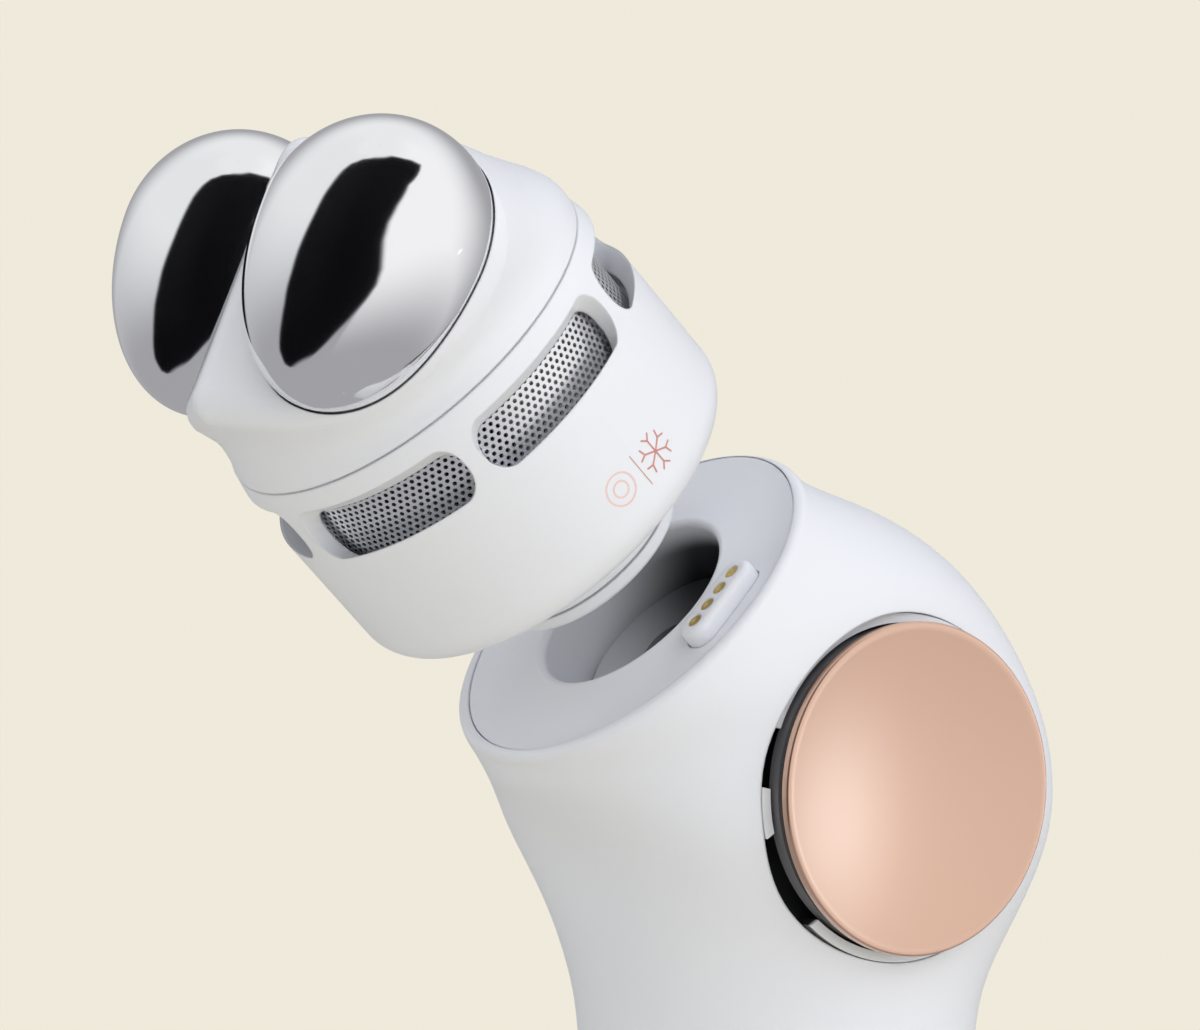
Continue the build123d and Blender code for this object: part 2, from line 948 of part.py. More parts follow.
# ---------------------------------------------------------------- head: band and vents
band_inner = head_radius - head_wall
opening_radius = head_radius - head_corner
base_radius = opening_radius - snug
vent_span = (360 - vent_back_bar - (vent_count - 1) * vent_bar) / vent_count
vent_pitch = vent_span + vent_bar
first_vent = -90 + (vent_bar - vent_count * vent_pitch) / 2
inner_fall = (head_radius - mesh_radius) * tan(radians(vent_fall))
outer_rise = head_wall * tan(radians(vent_fall))
ledge_height = vent_bottom - ledge_drop
ledge_bottom = ledge_height - ledge_thickness
ledge_radius = mesh_radius - ledge_width
mesh_top = seam_height - mesh_drop

with BuildPart() as head_band:
    with BuildSketch(side_plane(head)) as band_profile:
        with BuildLine():
            band_top = (seam_radius, seam_height - seam_line)
            side_bottom = (head_radius, head_corner)
            side_top = (head_radius, vent_bottom)
            corner_sag = head_corner * (1 - sin(pi / 4))
            Line((opening_radius, base_thickness), (opening_radius, 0))
            ThreePointArc(
                (opening_radius, 0), (head_radius - corner_sag, corner_sag), side_bottom
            )
            Line(side_bottom, side_top)
            Spline(
                side_top,
                (head_radius - band_bow, vent_top - band_bow_drop),
                band_top,
                tangents=((0, 1), (-band_tuck, 1)),
            )
            Polyline(
                band_top,
                (band_inner, seam_height - seam_line),
                (band_inner, ledge_height),
                (ledge_radius, ledge_height),
                (ledge_radius, ledge_bottom),
                (band_inner, ledge_bottom - ledge_slope),
                (band_inner, head_corner),
                (opening_radius, base_thickness),
            )
        make_face()
    revolve(axis=axis_of(head))

with BuildPart() as vent_cutter:
    with BuildSketch(side_plane(head, first_vent)) as vent_side:
        with BuildLine():
            Polyline(
                (mesh_radius, vent_bottom - inner_fall),
                (head_radius + head_wall, vent_bottom + outer_rise),
                (head_radius + head_wall, vent_top + outer_rise),
                (mesh_radius, vent_top - inner_fall),
                close=True,
            )
        make_face()
    revolve(axis=axis_of(head), revolution_arc=vent_span)
    sloping_edges = [
        edge
        for edge in vent_cutter.edges().filter_by(GeomType.LINE)
        if abs(edge.tangent_at(0).dot(socket_axis)) < 0.99
    ]
    fillet(sloping_edges, vent_corner)

with head_band:
    for index in range(vent_count):
        turned = vent_cutter.part.rotate(axis_of(head), vent_pitch * index)
        add(turned, mode=Mode.SUBTRACT)
save(head_band, "head_band")

with BuildPart() as vent_mesh:
    tube(head, ledge_height, mesh_top, mesh_radius, mesh_radius - mesh_thickness)
save(vent_mesh, "vent_mesh")

with BuildPart() as seam_gasket:
    tube(head, seam_height - seam_line, seam_height, seam_radius - seam_inset, band_inner)
save(seam_gasket, "seam_gasket")

# ---------------------------------------------------------------- head: cap and electrodes
pitch = radians(egg_pitch)
yaw = radians(egg_yaw)
egg_up = socket_axis * cos(pitch) - socket_up * sin(pitch)
egg_along = socket_up * cos(pitch) + socket_axis * sin(pitch)


def egg_frame(side):
    """Frame of one electrode: z runs along the egg, towards its wide end at the back."""
    sideways = Vector(side, 0, 0)
    centre = head.origin + sideways * egg_side - socket_up * egg_front + socket_axis * egg_height
    return Plane(origin=centre, x_dir=egg_up, z_dir=egg_along * cos(yaw) + sideways * sin(yaw))


def egg(side, grow, mode=Mode.ADD):
    """Solid egg, grown evenly by a distance."""
    ovoid(
        egg_frame(side),
        egg_radius + grow,
        egg_half_length + egg_shift + grow,
        egg_half_length - egg_shift + grow,
        widest=egg_shift,
        mode=mode,
    )


cap_cavity_radius = seam_radius - cap_wall
slope = radians(ridge_slope)
ridge_point = head.origin - socket_up * ridge_front + socket_axis * ridge_front_height
ridge_along = socket_up * cos(slope) + socket_axis * sin(slope)
# Plane across the ridge at its front tip: x to the side, y up out of the ridge.
ridge_end = Plane(origin=ridge_point, x_dir=(1, 0, 0), z_dir=ridge_along * -1)
roof_reach = 2.4 * head_radius
roof_fall = roof_reach * tan(radians(roof_slope))

# Sections of the cap: height, half width, reach to the front and back, squareness of both.
cap_sections = [
    (seam_height, seam_radius, seam_radius, seam_radius, round_square, round_square),
    (
        seam_height + waist_rise,
        waist_radius,
        waist_front,
        waist_back,
        round_square,
        round_square,
    ),
    (seam_height + cup_rise, cup_radius, cup_front, cup_back, front_square, back_square),
    (ridge_front_height, brim_radius, ridge_front, brim_back, front_square, back_square),
    (
        ridge_front_height + temple_rise,
        temple_radius,
        temple_front,
        temple_back,
        front_square,
        back_square,
    ),
    (
        ridge_front_height + crown_rise,
        crown_radius,
        crown_front,
        crown_back,
        front_square,
        back_square,
    ),
]


def cap_section(height, half_width, front, back, front_squareness, back_squareness):
    """Outline of the cap across the head's axis; its front and back halves differ."""
    front_half = [(x, y) for x, y in superellipse(half_width, front, front_squareness) if y < -0.01]
    back_half = [(x, y) for x, y in superellipse(half_width, back, back_squareness) if y > 0.01]
    with BuildSketch(head.offset(height)) as outline:
        with BuildLine():
            Spline(
                (half_width, 0), *back_half, (-half_width, 0), *front_half, periodic=True
            )
        make_face()
    return outline.sketch


with BuildPart() as egg_pockets:
    for side in (-1, 1):
        egg(side, egg_gap)
    tube(head, 0, egg_cut_height, 3 * head_radius, mode=Mode.SUBTRACT)

with BuildPart() as head_cap:
    loft([cap_section(*section) for section in cap_sections])
    with BuildSketch(ridge_end) as roof_profile:
        with BuildLine():
            Polyline(
                (0, 0),
                (roof_reach, -roof_fall),
                (roof_reach, -2 * roof_reach),
                (-roof_reach, -2 * roof_reach),
                (-roof_reach, -roof_fall),
                close=True,
            )
        make_face()
        fillet(roof_profile.vertices().sort_by(Axis.Y)[-1], ridge_round)
    extrude(roof_profile.sketch, amount=roof_reach * 2, both=True, mode=Mode.INTERSECT)
    roof_faces = head_cap.faces().filter_by(GeomType.PLANE).sort_by(axis_of(head))[-2:]
    brim_edges = [edge for face in roof_faces for edge in face.edges().filter_by(GeomType.BSPLINE)]
    fillet(brim_edges, brim_round)
    tube(head, seam_height, egg_cut_height, cap_cavity_radius, mode=Mode.SUBTRACT)
    add(egg_pockets.part, mode=Mode.SUBTRACT)
save(head_cap, "head_cap")


def electrode(side):
    """Hollow metal egg, open underneath."""
    egg(side, 0.0)
    egg(side, -egg_shell, mode=Mode.SUBTRACT)
    tube(head, 0, egg_cut_height, 3 * head_radius, mode=Mode.SUBTRACT)


with BuildPart() as electrode_left:
    electrode(-1)
save(electrode_left, "electrode_left")

with BuildPart() as electrode_right:
    electrode(1)
save(electrode_right, "electrode_right")

# ---------------------------------------------------------------- head: cooling
electrode_carrier_bottom = egg_cut_height - electrode_carrier_thickness
core_bottom = electrode_carrier_bottom - core_foot
sink_top = core_bottom - peltier_height
sink_bottom = sink_top - sink_plate
sink_radius = cap_cavity_radius - sink_margin
fin_radius = ledge_radius - fin_margin
fin_bottom = vent_bottom - fin_drop
carrier_posts = [
    (carrier_post_circle * cos(radians(azimuth)), carrier_post_circle * sin(radians(azimuth)))
    for azimuth in (60, 120, 250, 290)
]


def cooling_core(side):
    """Metal core that carries cold from a cooling module up into the egg."""
    place = (side * core_side, -egg_front)
    tube(head, core_bottom, egg_height + egg_radius, core_radius, at=place)
    egg(side, -egg_shell - snug, mode=Mode.INTERSECT)
    tube(head, core_bottom, egg_cut_height, core_radius, at=place)


with BuildPart() as core_left:
    cooling_core(-1)
save(core_left, "core_left")

with BuildPart() as core_right:
    cooling_core(1)
save(core_right, "core_right")

with BuildPart() as electrode_carrier:
    tube(head, electrode_carrier_bottom, egg_cut_height, cap_cavity_radius - snug)
    for place in carrier_posts:
        tube(head, sink_top, electrode_carrier_bottom, carrier_post_radius, at=place)
    for side in (-1, 1):
        tube(
            head,
            electrode_carrier_bottom,
            egg_cut_height,
            core_radius + snug,
            at=(side * core_side, -egg_front),
            mode=Mode.SUBTRACT,
        )
save(electrode_carrier, "electrode_carrier")

with BuildPart() as peltier_modules:
    for side in (-1, 1):
        block(
            head,
            sink_top,
            sink_top + peltier_height,
            peltier_size,
            peltier_size,
            at=(side * core_side, -egg_front),
        )
save(peltier_modules, "peltier_modules")

fin_count = int(fin_radius / fin_pitch)
with BuildPart() as heat_sink:
    tube(head, sink_bottom, sink_top, sink_radius)
    for index in range(-fin_count, fin_count + 1):
        offset_x = index * fin_pitch
        half_chord = (fin_radius**2 - offset_x**2) ** 0.5
        block(
            head,
            fin_bottom,
            sink_bottom,
            fin_thickness,
            2 * half_chord,
            at=(offset_x, 0),
        )
save(heat_sink, "heat_sink")

# ---------------------------------------------------------------- head: fan
fan_floor_top = fan_floor + fan_floor_thickness
fan_top = fin_bottom - fan_fin_gap
fan_ring_outer = ledge_radius - fan_ring_gap
fan_ring_inner = fan_ring_outer - fan_ring_wall
fan_arm_length = fan_ring_inner + fan_arm_root
rotor_bottom = fan_floor_top + running
rotor_top = fan_top - rotor_drop
fan_legs = [
    (fan_leg_circle * cos(radians(azimuth)), fan_leg_circle * sin(radians(azimuth)))
    for azimuth in (60, 180, 300)
]

with BuildPart() as fan_frame:
    tube(head, fan_floor, fan_top, fan_ring_outer, fan_ring_inner)
    tube(head, fan_floor, fan_floor_top, hub_radius + hub_seat)
    for azimuth in (60, 180, 300):
        arm = Plane(
            origin=head.origin,
            x_dir=side_plane(head, azimuth).x_dir,
            z_dir=socket_axis,
        )
        block(
            arm,
            fan_floor,
            fan_floor_top,
            fan_arm_length,
            fan_arm_width,
            at=(fan_arm_length / 2, 0),
        )
    for place in fan_legs:
        tube(head, base_thickness, fan_floor, fan_leg_radius, screw_radius, at=place)
save(fan_frame, "fan_frame")

with BuildPart() as fan_motor:
    motor_top = fan_top - motor_drop
    tube(head, fan_floor_top, motor_top, motor_radius, shaft_radius + running)
save(fan_motor, "fan_motor")

with BuildPart() as fan_rotor:
    tube(head, rotor_bottom, rotor_top, hub_radius, motor_radius + running)
    tube(head, rotor_top - hub_roof, rotor_top, hub_radius)
    for index in range(blade_count):
        spoke = side_plane(head, 360 / blade_count * index)
        rise = radians(blade_angle)
        blade = Plane(
            origin=head.origin + socket_axis * (rotor_bottom + rotor_top) / 2,
            x_dir=spoke.z_dir * cos(rise) + socket_axis * sin(rise),
            z_dir=spoke.x_dir,
        )
        block(
            blade,
            hub_radius - blade_root,
            fan_ring_inner - blade_gap,
            blade_width,
            blade_thickness,
        )
save(fan_rotor, "fan_rotor")

with BuildPart() as fan_shaft:
    tube(head, fan_floor_top, rotor_top - hub_roof, shaft_radius)
save(fan_shaft, "fan_shaft")

# ---------------------------------------------------------------- head: underside and plug
head_board_bottom = base_thickness + boss_height
notch_inner = contact_radius - contact_block_width / 2 - base_notch_gap
pin_block_inner = notch_inner - pin_block_ledge
pin_block_outer = contact_radius + contact_block_width / 2
pin_block_top = base_thickness + pin_block_height
pin_tip = contact_height - contact_pad_recess - pin_reach
board_bosses = [
    (boss_circle * cos(radians(azimuth)), boss_circle * sin(radians(azimuth)))
    for azimuth in (90, 180, 270)
]

with BuildPart() as head_base:
    tube(head, 0, base_thickness, base_radius)
    block(
        head,
        0,
        base_thickness,
        2 * (base_radius - notch_inner),
        contact_block_length + 2 * base_notch_gap,
        at=(base_radius, 0),
        mode=Mode.SUBTRACT,
    )
    for place in board_bosses:
        tube(head, base_thickness, head_board_bottom, boss_radius, at=place)
    for place in fan_legs:
        tube(head, 0, base_thickness, screw_radius + snug, at=place, mode=Mode.SUBTRACT)
        tube(
            head,
            0,
            screw_head_height + screw_seat,
            screw_head_radius + snug,
            at=place,
            mode=Mode.SUBTRACT,
        )
save(head_base, "head_base")

with BuildPart() as head_screws:
    for place in fan_legs:
        screw(head, screw_seat, head_screw_length, at=place)
save(head_screws, "head_screws")

with BuildPart() as head_board:
    head_board_top = head_board_bottom + head_board_thickness
    tube(head, head_board_bottom, head_board_top, head_board_radius)
save(head_board, "head_board")

with BuildPart() as pin_block:
    block(
        head,
        base_thickness,
        pin_block_top,
        pin_block_outer - pin_block_inner,
        contact_block_length + 2 * pin_block_end,
        at=((pin_block_outer + pin_block_inner) / 2, 0),
    )
    for place in contact_places:
        tube(
            head,
            base_thickness,
            pin_block_top,
            pin_radius + pin_clearance,
            at=place,
            mode=Mode.SUBTRACT,
        )
save(pin_block, "pin_block")

with BuildPart() as spring_pins:
    for place in contact_places:
        tube(head, pin_tip, pin_block_top - pin_travel - snug, pin_radius, at=place)
save(spring_pins, "spring_pins")

with BuildPart() as plug_collar:
    tube(head, -plug_length, 0, plug_radius)
    tube(head, -plug_length, -collar_roof, magnet_radius + snug, mode=Mode.SUBTRACT)
save(plug_collar, "plug_collar")

with BuildPart() as plug_magnet:
    tube(head, -plug_length, -collar_roof - magnet_gap, magnet_radius, magnet_hole)
save(plug_magnet, "plug_magnet")

with BuildPart() as plug_tip:
    tube(head, -plug_reach, -plug_length - plug_line, plug_radius)
    fillet(plug_tip.faces().sort_by(axis_of(head))[0].edges(), tip_round)
    tube(head, -plug_length - plug_line, -plug_length, plug_radius - tip_neck_inset)
save(plug_tip, "plug_tip")
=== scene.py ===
import logging
from dataclasses import dataclass
from enum import Enum
from functools import cache
from math import asin, atan2, cos, degrees, pi, radians, sin, tan, tau
from typing import Any, Callable, Sequence

import bmesh
import bpy
from bmesh.types import BMEdge, BMesh, BMVert
from bpy.types import ID, Material, Mesh, Node, NodeSocket, NodeTree, Object
from mathutils import Matrix, Vector


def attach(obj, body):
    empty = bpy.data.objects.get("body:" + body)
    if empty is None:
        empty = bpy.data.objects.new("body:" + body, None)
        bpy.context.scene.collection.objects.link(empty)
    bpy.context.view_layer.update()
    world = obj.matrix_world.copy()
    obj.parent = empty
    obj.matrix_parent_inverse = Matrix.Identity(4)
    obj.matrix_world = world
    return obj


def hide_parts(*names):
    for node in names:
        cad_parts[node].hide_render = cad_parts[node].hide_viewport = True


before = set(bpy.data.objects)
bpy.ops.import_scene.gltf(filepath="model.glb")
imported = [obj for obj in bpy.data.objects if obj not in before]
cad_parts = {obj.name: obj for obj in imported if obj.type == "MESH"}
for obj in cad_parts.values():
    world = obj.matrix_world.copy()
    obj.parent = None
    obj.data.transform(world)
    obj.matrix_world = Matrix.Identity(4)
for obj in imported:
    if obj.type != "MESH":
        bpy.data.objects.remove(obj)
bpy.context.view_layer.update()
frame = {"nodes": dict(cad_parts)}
MM = 0.001
MERGE_DISTANCE = 0.01 * MM
WELD_DISTANCE = 0.0001 * MM
POLE_RADIUS = 1e-9
MIX_COLOURS = slice(6, 8)
MIX_RESULT = 2
log = logging.getLogger("facial_toner")

Point = tuple[float, float]
Colour = tuple[float, float, float]
Triple = tuple[float, float, float]


# ---- node tools
class Graph:
    """Adds nodes to a shader or geometry tree."""

    def __init__(self, tree: NodeTree) -> None:
        """Keeps the tree that nodes are added to."""
        self.tree = tree

    def add(
        self, kind: str, *values: Any, settings: dict[str, Any] | None = None, **named: Any
    ) -> Node:
        """Adds one node.

        Args:
            kind: The node's type name.
            values: Values or links of its first inputs, in order.
            settings: Properties of the node, set before its inputs.
            named: Values or links of inputs; underscores stand for blanks in their names.

        Returns:
            The new node.
        """
        node = self.tree.nodes.new(kind)
        for name, value in (settings or {}).items():
            setattr(node, name, value)
        for number, value in enumerate(values):
            self.connect(node.inputs[number], value)
        self.set(node, **named)
        return node

    def out(self, kind: str, *values: Any, **named: Any) -> NodeSocket:
        """Adds one node and gives its first output."""
        return self.add(kind, *values, **named).outputs[0]

    def set(self, node: Node, **named: Any) -> None:
        """Sets inputs of a node; underscores stand for blanks in their names."""
        for name, value in named.items():
            self.connect(node.inputs[name.replace("_", " ")], value)

    def connect(self, target: NodeSocket, value: Any) -> None:
        """Links a socket, or sets its value.

        Args:
            target: The input socket.
            value: A Shade, a socket, or a plain value.
        """
        if isinstance(value, Shade):
            value = value.socket
        if isinstance(value, NodeSocket):
            self.tree.links.new(value, target)
        else:
            target.default_value = value

    def vector(self, operation: str, *values: Any) -> Node:
        """Adds a Vector Math node on some values."""
        return self.add("ShaderNodeVectorMath", *values, settings={"operation": operation})


def operator(operation: str, flipped: bool = False) -> Callable[["Shade", Any], "Shade"]:
    """An operator that adds one Math node; a flipped one takes the other value first."""
    step = -1 if flipped else 1
    return lambda self, other: self.math(operation, *(self, other)[::step])


class Shade:
    """A number socket that takes part in arithmetic: each operator adds a Math node."""

    def __init__(self, graph: Graph, socket: NodeSocket) -> None:
        """Wraps an output socket."""
        self.graph = graph
        self.socket = socket

    def math(self, operation: str, *values: Any, clamp: bool = False) -> "Shade":
        """Adds a Math node on some values."""
        settings = {"operation": operation, "use_clamp": clamp}
        return Shade(self.graph, self.graph.out("ShaderNodeMath", *values, settings=settings))

    __add__, __radd__ = operator("ADD"), operator("ADD", True)
    __sub__, __rsub__ = operator("SUBTRACT"), operator("SUBTRACT", True)
    __mul__, __rmul__ = operator("MULTIPLY"), operator("MULTIPLY", True)
    __truediv__ = operator("DIVIDE")
    __mod__ = operator("MODULO")

    def whole(self) -> "Shade":
        """The whole number at or below the value."""
        return self.math("FLOOR", self)

    def limited(self) -> "Shade":
        """The value kept between 0 and 1."""
        return self.math("ADD", self, 0.0, clamp=True)

    def ramp(self, start: float, end: float) -> "Shade":
        """Smooth step from 0, where the value is the start, to 1 at the end."""
        share = ((self - start) / (end - start)).limited()
        return share * share * (3.0 - 2.0 * share)


class MaterialGraph(Graph):
    """A material's tree with the patterns that the finishes share."""

    def __init__(self, name: str) -> None:
        """Makes an empty material with its output and shader."""
        self.material = bpy.data.materials.new(name)
        self.material.use_nodes = True
        super().__init__(self.material.node_tree)
        self.tree.nodes.clear()
        self.shader = self.add("ShaderNodeBsdfPrincipled")
        self.output = self.add("ShaderNodeOutputMaterial", self.shader.outputs[0])
        self.place = self.add("ShaderNodeTexCoord").outputs["Object"]

    def noise(self, size: float, detail: float = 2.0, stretch: Triple = (1, 1, 1)) -> Shade:
        """Soft random pattern.

        Args:
            size: Size of one patch, in metres.
            detail: How many finer layers it has.
            stretch: Scale of the pattern along X, Y and Z.

        Returns:
            A value between 0 and 1.
        """
        place = self.out("ShaderNodeMapping", Vector=self.place, Scale=stretch)
        node = self.add("ShaderNodeTexNoise", Vector=place, Scale=1.0 / size, Detail=detail)
        return Shade(self, node.outputs["Fac"])

    def blend(self, amount: Shade, low: Colour | NodeSocket, high: Colour) -> NodeSocket:
        """Mixes two colours.

        Args:
            amount: 0 gives the low one, 1 the high one.
            low: First colour.
            high: Second colour.

        Returns:
            The mixed colour.
        """
        node = self.add("ShaderNodeMix", amount, settings={"data_type": "RGBA"})
        colours = ((*low, 1.0) if isinstance(low, tuple) else low, (*high, 1.0))
        for socket, colour in zip(node.inputs[MIX_COLOURS], colours):
            self.connect(socket, colour)
        return node.outputs[MIX_RESULT]

    def tint(self, pattern: Shade, colour: Colour, darker: float, lighter: float) -> NodeSocket:
        """The colour with a share taken off where a pattern is 0 and one added where it is 1."""
        return self.blend(pattern, shifted(colour, -darker), shifted(colour, lighter))

    def bump(self, height: Shade, depth: float, strength: float) -> None:
        """Feeds the shader's normal with a relief.

        Args:
            height: Relief between 0 and 1.
            depth: Depth of the relief in metres.
            strength: Share of the relief that shows.
        """
        node = self.add("ShaderNodeBump", Height=height, Distance=depth, Strength=strength)
        before = self.shader.inputs["Normal"].links
        if before:
            self.set(node, Normal=before[0].from_socket)
        self.look(Normal=node.outputs[0])

    def soften_edges(self, radius: float) -> None:
        """Rounds the look of hard edges by a radius in metres."""
        self.look(Normal=self.out("ShaderNodeBevel", radius, settings={"samples": 6}))

    def show(self, share: Any, low: Node, high: Node) -> Material:
        """Shows a mix of two shaders on the surface; a share of 0 shows the low one."""
        mixed = self.out("ShaderNodeMixShader", share, low.outputs[0], high.outputs[0])
        self.set(self.output, Surface=mixed)
        return self.material

    def look(self, **values: Any) -> None:
        """Sets inputs of the shader."""
        self.set(self.shader, **values)


def shifted(colour: Colour, amount: float) -> Colour:
    """A colour with a share of each channel added to it."""
    red, green, blue = (min(1.0, channel * (1 + amount)) for channel in colour)
    return red, green, blue


# ---- places
@dataclass(frozen=True)
class Frame:
    """A place and three directions: x, y and z of a piece's own drawing."""

    origin: Vector
    x_dir: Vector
    z_dir: Vector

    @property
    def matrix(self) -> Matrix:
        """Turns the frame's own coordinates, in metres, into the part's."""
        y_dir = self.z_dir.cross(self.x_dir)
        turn = Matrix((self.x_dir, y_dir, self.z_dir)).transposed().to_4x4()
        return Matrix.Translation(self.origin) @ turn

    def lifted(self, amount: float) -> "Frame":
        """The same frame moved along its z."""
        return Frame(self.origin + self.z_dir * amount, self.x_dir, self.z_dir)


SOCKET_TILT = radians(46.4)
SOCKET_AXIS = Vector((0.0, -sin(SOCKET_TILT), cos(SOCKET_TILT)))
SOCKET_UP = Vector((0.0, cos(SOCKET_TILT), sin(SOCKET_TILT)))
SIDE = Vector((1.0, 0.0, 0.0))
SHADE_SIDE = Vector((0.584, 0.812, 0.0))
LIFT = 15.0 * MM
ORIGIN = Frame(Vector((0.0, 0.0, 0.0)), SIDE, Vector((0.0, 0.0, 1.0)))
SOCKET = Frame(Vector((0.0, -0.0219, 0.125)), SIDE, SOCKET_AXIS)
HEAD = SOCKET.lifted(LIFT)
BUTTON = Frame(Vector((0.0284, -0.0009, 0.1034)), Vector((0.0, 1.0, 0.0)), SIDE)


@dataclass(frozen=True)
class Hollow:
    """Shade that gathers in a round opening, below a depth and towards one side."""

    frame: Frame
    radius: float
    depths: tuple[float, float]
    side: Vector | None = None
    sides: tuple[float, float] = (0.0, 1.0)
    colour: Colour = (0.022, 0.023, 0.026)
    border: float = 0.1 * MM

    def share(self, graph: MaterialGraph) -> Shade:
        """How deep a point is in the shade.

        Args:
            graph: Material that the nodes go into.

        Returns:
            A value between 0 and 1.
        """
        offset = graph.vector("SUBTRACT", graph.place, self.frame.origin).outputs[0]

        def along(axis: Vector) -> Shade:
            """Distance along an axis."""
            return Shade(graph, graph.vector("DOT_PRODUCT", offset, axis).outputs["Value"])

        height = along(self.frame.z_dir)
        away = Shade(graph, graph.vector("LENGTH", offset).outputs["Value"])
        outer = (self.radius + self.border) ** 2
        inside = (away * away - height * height).ramp(outer, self.radius**2)
        share = inside * height.ramp(*self.depths)
        return share if self.side is None else share * along(self.side).ramp(*self.sides)


BORE_SHADE = Hollow(SOCKET, 14.0 * MM, (-0.8 * MM, -4.5 * MM), SHADE_SIDE, (-4.5 * MM, 8.5 * MM))
WELL_SHADE = Hollow(BUTTON, 25.0 * MM, (-3.5 * MM, -4.2 * MM))


# ---- finishes
@dataclass(frozen=True)
class MouldedPlastic:
    """Moulded plastic with a fine spark-eroded grain."""

    name: str
    colour: Colour
    roughness: float
    edge: float = 0.0
    tint: float = 0.03
    hollow: Hollow | None = None
    patch_size: float = 30.0 * MM
    grain_size: float = 0.28 * MM
    grain_depth: float = 0.006 * MM
    refraction: float = 1.46

    def build(self) -> Material:
        """Makes the material."""
        graph = MaterialGraph(self.name)
        patches = graph.noise(self.patch_size, 3.0)
        grain = graph.noise(self.grain_size)
        colour = graph.tint(patches, self.colour, self.tint, self.tint)
        if self.hollow:
            colour = graph.blend(self.hollow.share(graph), colour, self.hollow.colour)
        graph.look(
            Base_Color=colour,
            Roughness=self.roughness + 0.06 * (patches - 0.5) + 0.05 * (grain - 0.5),
            IOR=self.refraction,
        )
        if self.edge:
            graph.soften_edges(self.edge)
        graph.bump(grain, self.grain_depth, 0.5)
        return graph.material


@dataclass(frozen=True)
class PolishedMetal:
    """Mirror-polished plating with faint polishing marks and smudges."""

    name: str
    colour: Colour
    roughness: float
    smudge_size: float = 9.0 * MM
    mark_size: float = 1.6 * MM
    mark_stretch: Triple = (1.0, 0.15, 0.15)
    mark_depth: float = 0.0016 * MM

    def build(self) -> Material:
        """Makes the material."""
        graph = MaterialGraph(self.name)
        smudges = graph.noise(self.smudge_size, 4.0)
        marks = graph.noise(self.mark_size, 1.0, self.mark_stretch)
        graph.look(
            Base_Color=graph.tint(smudges, self.colour, 0.03, 0.0),
            Metallic=1.0,
            Roughness=self.roughness + 0.05 * (smudges * smudges) + 0.012 * marks,
        )
        graph.bump(marks, self.mark_depth, 0.3)
        return graph.material


@dataclass(frozen=True)
class BlastedMetal:
    """Fine bead-blasted metal with an even satin sheen."""

    name: str
    colour: Colour
    roughness: float
    grain_size: float = 0.22 * MM
    coat: float = 0.0
    coat_roughness: float = 0.2
    coat_refraction: float = 2.6
    cloud_size: float = 12.0 * MM
    grain_depth: float = 0.004 * MM

    def build(self) -> Material:
        """Makes the material."""
        graph = MaterialGraph(self.name)
        grain = graph.noise(self.grain_size)
        clouds = graph.noise(self.cloud_size, 3.0)
        graph.look(
            Base_Color=graph.tint(0.7 * clouds + 0.3 * grain, self.colour, 0.04, 0.03),
            Metallic=1.0,
            Roughness=self.roughness + 0.05 * (clouds - 0.5) + 0.06 * (grain - 0.5),
            Coat_Weight=self.coat,
            Coat_Roughness=self.coat_roughness,
            Coat_IOR=self.coat_refraction,
        )
        graph.bump(grain, self.grain_depth, 0.5)
        return graph.material


@dataclass(frozen=True)
class TurnedMetal:
    """Machined or drawn metal with fine lines along one direction."""

    name: str
    colour: Colour
    roughness: float = 0.3
    line_size: float = 0.4 * MM
    line_stretch: Triple = (1.0, 1.0, 0.06)
    line_depth: float = 0.01 * MM
    stain_size: float = 6.0 * MM

    def build(self) -> Material:
        """Makes the material."""
        graph = MaterialGraph(self.name)
        lines = graph.noise(self.line_size, 3.0, self.line_stretch)
        stains = graph.noise(self.stain_size, 3.0)
        graph.look(
            Base_Color=graph.tint(0.6 * lines + 0.4 * stains, self.colour, 0.08, 0.05),
            Metallic=1.0,
            Roughness=self.roughness + 0.12 * (lines - 0.5),
        )
        graph.bump(lines, self.line_depth, 0.4)
        return graph.material


@dataclass(frozen=True)
class SoftRubber:
    """Matte rubber with a dusty bloom."""

    name: str
    colour: Colour
    dust_size: float = 4.0 * MM
    grain_size: float = 0.3 * MM
    grain_depth: float = 0.02 * MM

    def build(self) -> Material:
        """Makes the material."""
        graph = MaterialGraph(self.name)
        dust = graph.noise(self.dust_size, 4.0)
        colour = graph.tint(dust, self.colour, 0.0, 0.35)
        graph.look(Base_Color=colour, Roughness=0.68 + 0.16 * dust)
        graph.bump(graph.noise(self.grain_size), self.grain_depth, 0.5)
        return graph.material


@dataclass(frozen=True)
class CircuitBoard:
    """Lacquered board with faint copper tracks under the lacquer."""

    name: str
    colour: Colour = (0.015, 0.10, 0.05)
    track: Colour = (0.05, 0.22, 0.09)
    tracks_per_metre: float = 260.0
    track_width: float = 0.06
    cloud_size: float = 2.0 * MM

    def build(self) -> Material:
        """Makes the material."""
        graph = MaterialGraph(self.name)
        brick = graph.out(
            "ShaderNodeTexBrick",
            Vector=graph.place,
            Scale=self.tracks_per_metre,
            Mortar_Size=self.track_width,
            Mortar=(*self.track, 1.0),
            Color1=(*self.colour, 1.0),
            Color2=(*shifted(self.colour, 0.25), 1.0),
        )
        clouds = graph.noise(self.cloud_size)
        graph.look(Base_Color=brick, Roughness=0.28 + 0.1 * clouds)
        return graph.material


WHITE = (0.81, 0.82, 0.865)


